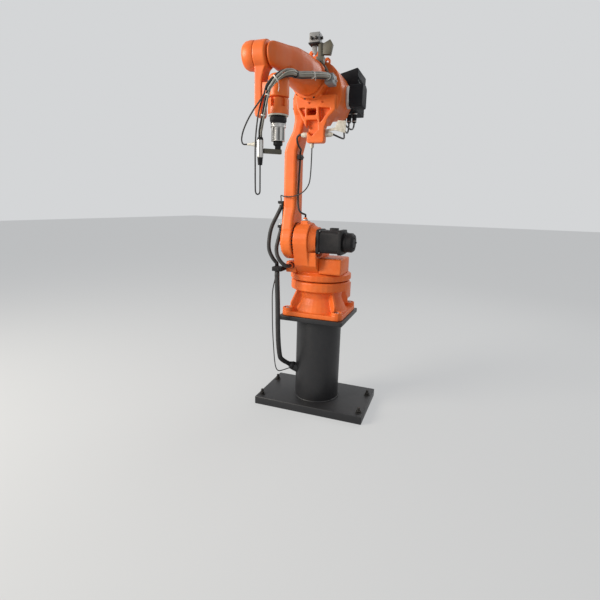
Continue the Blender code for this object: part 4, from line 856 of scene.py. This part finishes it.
def fasten_pedestal():
    stud = anchor_stud(radius=0.008, height=0.030)
    spots = [((x, y, PLATE_TOP), PLUS_Z) for x in (-0.095, 0.150) for y in (-0.303, 0.303)]
    fasten("pedestal_anchor_studs", stud, spots, DARK_BOLT, "pedestal")
    drop(stud)
    weld_bead("column_foot_weld", COLUMN_R + 0.0015, height=0.0500, thick=0.0055, seed=3)
    weld_bead("column_head_weld", COLUMN_R + 0.0010, height=0.5480, thick=0.0045, seed=5)
    head = hex_head(radius=0.0135, height=0.010, foot=0.003)
    spots = corner_spots((0, 0, FOOT_TOP + 0.004), 0.146, 0.146, PLUS_X, PLUS_Y, PLUS_Z)
    fasten("base_foot_bolts", head, spots, ZINC, "pedestal")
    drop(head)
    face, out = gland_line()
    nut = hex_nut(radius=0.026, height=0.012)
    fasten("hose_gland_nut", nut, [(face - out * 0.024, out)], MOTOR_BLACK, "pedestal")
    drop(nut)
    nut = hex_nut(radius=0.014, height=0.007)
    spots = [(around(STUD_TURN, COLUMN_R + 0.006, STUD_Z), around(STUD_TURN, 1, 0))]
    fasten("ground_stud_nut", nut, spots, ZINC, "pedestal")
    drop(nut)


def fasten_shoulder():
    screw = socket_head(radius=0.0042, height=0.0045)
    spots = ring_spots((0, 0, TURN_TOP), PLUS_Z, radius=0.149, count=11, first=105, step=15)
    fasten("turn_disc_screws", screw, spots, DARK_BOLT, "swivel")
    spots = corner_spots((0.0975, -0.150, 0.856), 0.062, 0.018, PLUS_X, PLUS_Z, MINUS_Y)
    spots += [((0.246, -0.166, 0.850), PLUS_X), ((0.150, -0.1583, 0.850), MINUS_Y)]
    fasten("side_block_screws", screw, spots, DARK_BOLT, "swivel")
    spots = corner_spots((SHOULDER.x, 0.046, SHOULDER.z), 0.0565, 0.0565, PLUS_X, PLUS_Z, PLUS_Y)
    fasten("shoulder_motor_screws", screw, spots, ZINC, "swivel")
    spots = ring_spots((SHOULDER.x, 0.224, SHOULDER.z), PLUS_Y, radius=0.030, count=3, first=30)
    fasten("motor_cap_screws", screw, spots, DARK_BOLT, "swivel")
    drop(screw)
    nut = hex_nut(radius=0.0150, height=0.009)
    fasten("harness_gland_nut", nut, [((0.170, -0.046, SEAT_Z), PLUS_Z)], ZINC, "swivel")
    drop(nut)
    nut = hex_nut(radius=0.0205, height=0.010)
    fasten("conduit_gland_nut", nut, [((0.1752, SIDE_GLAND_Y, SIDE_GLAND_Z), PLUS_X)], DARK_BOLT, "swivel")
    drop(nut)


def fasten_lower_arm():
    screw = socket_head(radius=0.0038, height=0.0062)
    spots = ring_spots((SHOULDER.x, -0.0978, SHOULDER.z), PLUS_Y, radius=0.0915, count=30, first=6)
    fasten("shoulder_seam_screws", screw, spots, DARK_BOLT, "lower_arm")
    drop(screw)
    screw = socket_head(radius=0.0050, height=0.0045)
    spots = ring_spots((SHOULDER.x, -0.161, SHOULDER.z), MINUS_Y, radius=0.083, count=12, first=15)
    spots += ring_spots((ELBOW.x, -0.112, ELBOW.z), MINUS_Y, radius=0.058, count=8, first=22)
    spots += [((BRACKET_MID_X, -0.1663, z), MINUS_Y) for z in (1.105, 1.178)]
    fasten("arm_face_screws", screw, spots, DARK_BOLT, "lower_arm")
    fasten("harness_clip_screw", screw, [((0.1665, -0.0707, 1.435), PLUS_Y)], ZINC, "lower_arm")
    drop(screw)
    collar = hex_nut(radius=0.0135, height=0.006)
    spots = [((BRACKET_MID_X, BRACKET_HANG_Y, z), way) for z, way in ((1.1983, MINUS_Z), (1.0852, PLUS_Z))]
    fasten("conduit_lug_nuts", collar, spots, ZINC, "lower_arm")
    drop(collar)


def fasten_elbow():
    screw = socket_head(radius=0.0045, height=0.0045)
    spots = []
    for angle in range(20, 320, 30):
        turn = math.radians(angle)
        out = Vector((0, math.cos(turn), math.sin(turn)))
        spots.append((Vector((0.3185, 0, ROLL_Z)) + out * 0.0848, out))
    fasten("barrel_screws", screw, spots, DARK_BOLT, "elbow")
    spots = [((0.292, y, 1.668), PLUS_X) for y in (-0.004, 0.062)]
    fasten("yoke_screws", screw, spots, MACHINED_ORANGE, "elbow")
    spots = corner_spots((SHOULDER.x, 0.216, ELBOW.z + 0.026), 0.040, 0.040, PLUS_X, PLUS_Z, PLUS_Y)
    spots += [((x, 0.172, 1.690), PLUS_Y) for x in (-0.112, 0.042)]
    fasten("drive_screws", screw, spots, ZINC, "elbow")
    spots = [((x, 0.1273, ROLL_Z - 0.013), PLUS_Y) for x in (0.296, 0.338)]
    fasten("bundle_clamp_screws", screw, spots, ZINC, "elbow")
    drop(screw)


def fasten_wrist():
    screw = socket_head(radius=0.0036, height=0.0035)
    spots = ring_spots((WRIST.x, -0.1495, WRIST.z), MINUS_Y, radius=0.021, count=3, first=0)
    fasten("hub_cap_screws", screw, spots, DARK_BOLT, "wrist")
    spots = [((WRIST.x, -0.094, z), MINUS_Y) for z in (1.560, 1.590)]
    fasten("hanger_screws", screw, spots, DARK_BOLT, "wrist")
    drop(screw)


fasten_pedestal()
fasten_shoulder()
fasten_lower_arm()
fasten_elbow()
fasten_wrist()


# Pieces that the plain solids only block out


def flute_torch():
    """The torch holder: a collar over a body with flat flutes down its side."""
    body = turned_blank("torch_fluted_body", sides=24, radius=0.0278, low=1.4434, high=1.4960)
    select_faces(body, lambda middle, normal: abs(normal.z) < 0.1
                 and round(math.degrees(math.atan2(normal.y, normal.x)) / 15 - 0.5) % 3 != 0)
    bpy.ops.mesh.inset(thickness=0.0018)
    bpy.ops.mesh.inset(thickness=0.0006, depth=-0.0022)
    leave_edit()
    body.data.transform(Matrix.Translation((TOOL.x, TOOL.y, 0)))
    break_edges(body, 0.0005, angle=30)
    use_material(body, STEEL)
    body.data.materials.append(FLUTE_STEEL_PAINTED_SHADE)
    # Painted shade: the recessed flute faces, inside the body's outer radius, take the darker steel
    for face in body.data.polygons:
        reach = math.hypot(face.center.x - TOOL.x, face.center.y - TOOL.y)
        face.material_index = 1 if abs(face.normal.z) < 0.5 and reach < 0.0262 else 0
    collar = turned_blank("collar", sides=36, radius=0.0310, low=1.4956, high=1.5094)
    select_faces(collar, lambda middle, normal: abs(normal.z) < 0.1)
    bpy.ops.mesh.inset(thickness=0.0042)
    bpy.ops.mesh.extrude_region_shrink_fatten(TRANSFORM_OT_shrink_fatten={"value": -0.0012})
    leave_edit()
    collar.data.transform(Matrix.Translation((TOOL.x, TOOL.y, 0)))
    break_edges(collar, 0.0007, segments=2, angle=30)
    use_material(collar, STEEL)
    piece = join_pieces([body, collar], "torch_fluted_body")
    smooth(piece)
    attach(piece, "tool")
    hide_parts("torch_body")


def dress_connector():
    """The connector beside the torch: dark collars, a bright body and a pale cone plug."""
    piece = machined("side_connector", STEEL, 0.0006)
    piece.data.materials.append(MOTOR_BLACK)
    piece.data.materials.append(PLUG_LIGHT)
    for face in piece.data.polygons:
        if face.center.y < SIDE.y - 0.0125:
            face.material_index = 2
        elif face.center.z > SIDE.z + 0.040 or face.center.z < SIDE.z - 0.027:
            face.material_index = 1


def ring_under_flange():
    """The pale ring between the tool flange and the collision sensor."""
    ring = turned_blank("flange_pale_ring", sides=40, radius=0.0405, low=1.5385, high=1.5432)
    ring.data.transform(Matrix.Translation((TOOL.x, TOOL.y, 0)))
    break_edges(ring, 0.0008, segments=2)
    use_material(ring, PLUG_LIGHT)
    smooth(ring)
    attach(ring, "tool")


def valve_fittings():
    """The dark strip under the valve block and its three unions."""
    strip = flat_blank("valve_strip", (0.284, 0.018, 1.9165), (0.046, 0.054, 0.006))
    union = hex_nut(radius=0.0070, height=0.010)
    spots = [((0.305, y, 1.935), PLUS_X) for y in (0.008, 0.030)] + [((0.285, 0.0435, 1.940), PLUS_Y)]
    fasten("valve_unions", union, spots, DARK_BOLT, "elbow")
    drop(union)
    use_material(strip, MOTOR_BLACK)
    smooth(strip)
    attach(strip, "elbow")


def yoke_plug():
    """The second pale plug, on the side of the yoke that the photograph has on its right."""
    plug = turned_blank("yoke_right_plug", sides=16, radius=0.0115, low=0, high=0.024)
    select_top(plug)
    bpy.ops.mesh.inset(thickness=0.003)
    bpy.ops.transform.translate(value=(0, 0, 0.008))
    bpy.ops.mesh.inset(thickness=0.0015)
    bpy.ops.mesh.extrude_region_move(TRANSFORM_OT_translate={"value": (0, 0, 0.006)})
    leave_edit()
    fasten("yoke_right_plug", plug, [((0.262, 0.0765, 1.528), PLUS_Y)], PLUG_LIGHT, "elbow")
    drop(plug)


def swung(start, end, back, reach):
    """A cable's line: straight down out of a gland, one easy swing, and straight into a far socket."""
    a = Vector(start) + Vector(MINUS_Z) * SEAT_GAP
    d = Vector(end) + Vector(back) * SEAT_GAP
    b = a + Vector(MINUS_Z) * reach
    c = d + Vector(back) * reach
    points = []
    for i in range(25):
        t = i / 24
        points.append(a * (1 - t) ** 3 + b * 3 * t * (1 - t) ** 2 + c * 3 * t * t * (1 - t) + d * t ** 3)
    return points


def drive_cables():
    """The short cables from the drive cover's glands to the yoke and the junction plate."""
    for name, radius, height, z in (("drive_gland_nuts", 0.0139, 0.007, 1.6638),
                                    ("drive_gland_rings", 0.0132, 0.006, 1.6275)):
        nut = hex_nut(radius, height)
        fasten(name, nut, [((DRIVE_GLAND_X, y, z), PLUS_Z) for y in DRIVE_GLANDS_Y], ZINC, "elbow")
        drop(nut)
    inner, middle, outer = [(DRIVE_GLAND_X, y, DRIVE_GLAND_LOW) for y in DRIVE_GLANDS_Y]
    for name, start, end, back, reach in (
            ("drive_cable_inner", inner, (0.262, 0.1146, 1.528), (-0.35, 0.85, -0.35), 0.085),
            ("drive_cable_middle", middle, (0.2617, 0.155, 1.556), MINUS_X, 0.080),
            ("drive_cable_outer", outer, (0.2617, 0.167, 1.572), MINUS_X, 0.060)):
        line = swung(start, end, back, reach)
        piece = tube(name, line, plain_wall(DRIVE_CABLE_D / 2), 12, RUBBER)
        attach(piece, "elbow")


def box_sockets():
    """The sockets and the cover plate in the back of the connector box."""
    box = work_copy("base_connector_box")
    select_faces(box, lambda middle, normal: middle.x < -0.318)
    bpy.ops.transform.translate(value=(0.012, 0, 0))
    leave_edit()
    smooth(box)
    use_material(box, ORANGE)
    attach(box, "pedestal")
    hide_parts("base_connector_box")
    socket = turned_blank("socket", sides=32, radius=0.024, low=0, high=0.006)
    select_top(socket)
    bpy.ops.mesh.inset(thickness=0.0035)
    bpy.ops.mesh.extrude_region_move(TRANSFORM_OT_translate={"value": (0, 0, 0.005)})
    bpy.ops.mesh.inset(thickness=0.0025)
    bpy.ops.mesh.extrude_region_move(TRANSFORM_OT_translate={"value": (0, 0, -0.007)})
    leave_edit()
    spots = [((PANEL_X, y, PANEL_Z), MINUS_X) for y in (-0.045, 0.015)]
    fasten("connector_sockets", socket, spots, MOTOR_BLACK, "pedestal")
    drop(socket)
    plate_y = 0.076
    plate = flat_blank("connector_cover_plate", (PANEL_X - 0.001, plate_y, PANEL_Z), (0.004, 0.044, 0.066))
    use_material(plate, MACHINED_ORANGE)
    smooth(plate)
    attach(plate, "pedestal")
    screw = socket_head(radius=0.0036, height=0.0035)
    spots = corner_spots((PANEL_X - 0.003, plate_y, PANEL_Z), 0.017, 0.028, PLUS_Y, PLUS_Z, MINUS_X)
    fasten("connector_plate_screws", screw, spots, ZINC, "pedestal")
    drop(screw)


def roll_motor_end():
    """The stepped end cap of the roll motor, behind the elbow, and its screws."""
    cap = turned_blank("roll_motor_end_cap", sides=36, radius=0.036, low=0, high=0.030)
    select_top(cap)
    bpy.ops.mesh.inset(thickness=0.006)
    bpy.ops.mesh.extrude_region_move(TRANSFORM_OT_translate={"value": (0, 0, 0.008)})
    leave_edit()
    break_edges(cap, 0.0012, segments=2)
    fasten("roll_motor_end_cap", cap, [(ROLL_MOTOR_BACK, MINUS_X)], MOTOR_BLACK, "elbow")
    drop(cap)
    screw = socket_head(radius=0.0036, height=0.0035)
    spots = corner_spots(ROLL_MOTOR_BACK, 0.036, 0.036, PLUS_Y, PLUS_Z, MINUS_X)
    fasten("roll_motor_screws", screw, spots, ZINC, "elbow")
    drop(screw)


flute_torch()
dress_connector()
ring_under_flange()
valve_fittings()
yoke_plug()
drive_cables()
box_sockets()
roll_motor_end()


# Floor, backdrop and light


def shown(tree, share):
    """How much of a surface's look is its own pale colour, for the camera and in reflections."""
    link = tree.links.new
    ray = add_node(tree, "ShaderNodeLightPath")
    either = add_node(tree, "ShaderNodeMath")
    either.operation = "MAXIMUM"
    scaled = add_node(tree, "ShaderNodeMath", {1: share})
    scaled.operation = "MULTIPLY"
    link(ray.outputs["Is Camera Ray"], either.inputs[0])
    link(ray.outputs["Is Glossy Ray"], either.inputs[1])
    link(either.outputs["Value"], scaled.inputs[0])
    return scaled.outputs["Value"]


def mix_shown(tree, share, lit, pale, end):
    """Lays a share of a pale look over a lit surface where it is seen, and sends both to the end socket."""
    mix = add_node(tree, "ShaderNodeMixShader")
    tree.links.new(shown(tree, share), mix.inputs["Fac"])
    tree.links.new(lit, mix.inputs[1])
    tree.links.new(pale, mix.inputs[2])
    tree.links.new(mix.outputs["Shader"], end)


def set_stage():
    """A pale floor under the arm, evenly pale up to the backdrop, that keeps the arm's shadow."""
    bpy.ops.object.select_all(action="DESELECT")
    bpy.ops.mesh.primitive_plane_add(size=40, location=(-8, 0, -0.0005))
    floor = bpy.context.object
    floor.name = "studio_floor"
    mat = bpy.data.materials.new("studio_pale")
    mat.use_nodes = True
    tree = mat.node_tree
    shader = tree.nodes["Principled BSDF"]
    shader.inputs["Base Color"].default_value = (0.62, 0.62, 0.61, 1.0)
    shader.inputs["Roughness"].default_value = 0.95
    shader.inputs["Specular IOR Level"].default_value = 0.1
    even = add_node(tree, "ShaderNodeEmission", {"Color": (0.68, 0.69, 0.70, 1.0)})
    mix_shown(tree, 0.6, shader.outputs["BSDF"], even.outputs["Emission"],
              tree.nodes["Material Output"].inputs["Surface"])
    floor.data.materials.append(mat)


def area_light(name, place, target, size, power, colour=(1, 1, 1)):
    data = bpy.data.lights.new(name, "AREA")
    data.shape = "RECTANGLE"
    data.size = size
    data.size_y = size
    data.energy = power
    data.color = colour
    light = new_object(name, data)
    light.location = place
    light.rotation_euler = (Vector(target) - Vector(place)).to_track_quat("-Z", "Y").to_euler()


def set_light():
    """A warm key light from the arm's right, soft fill and rim lights, and a pale world."""
    area_light("key", (2.8, -3.0, 2.4), (0.2, 0, 1.2), size=1.8, power=200, colour=(1.0, 0.95, 0.86))
    area_light("fill", (3.0, 3.4, 2.2), (0.2, 0, 1.0), size=3.0, power=14)
    area_light("rim", (-2.5, 1.5, 3.2), (0.1, 0, 1.3), size=2.0, power=30)
    world = bpy.data.worlds.new("studio")
    world.use_nodes = True
    tree = world.node_tree
    light = tree.nodes["Background"]
    light.inputs["Color"].default_value = (0.92, 0.94, 0.97, 1.0)
    light.inputs["Strength"].default_value = 0.42
    seen = add_node(tree, "ShaderNodeBackground", {"Color": (0.66, 0.67, 0.68, 1.0)})
    mix_shown(tree, 1.0, light.outputs["Background"], seen.outputs["Background"],
              tree.nodes["World Output"].inputs["Surface"])
    bpy.context.scene.world = world
    bpy.context.scene.view_settings.view_transform = "Standard"


set_stage()
set_light()
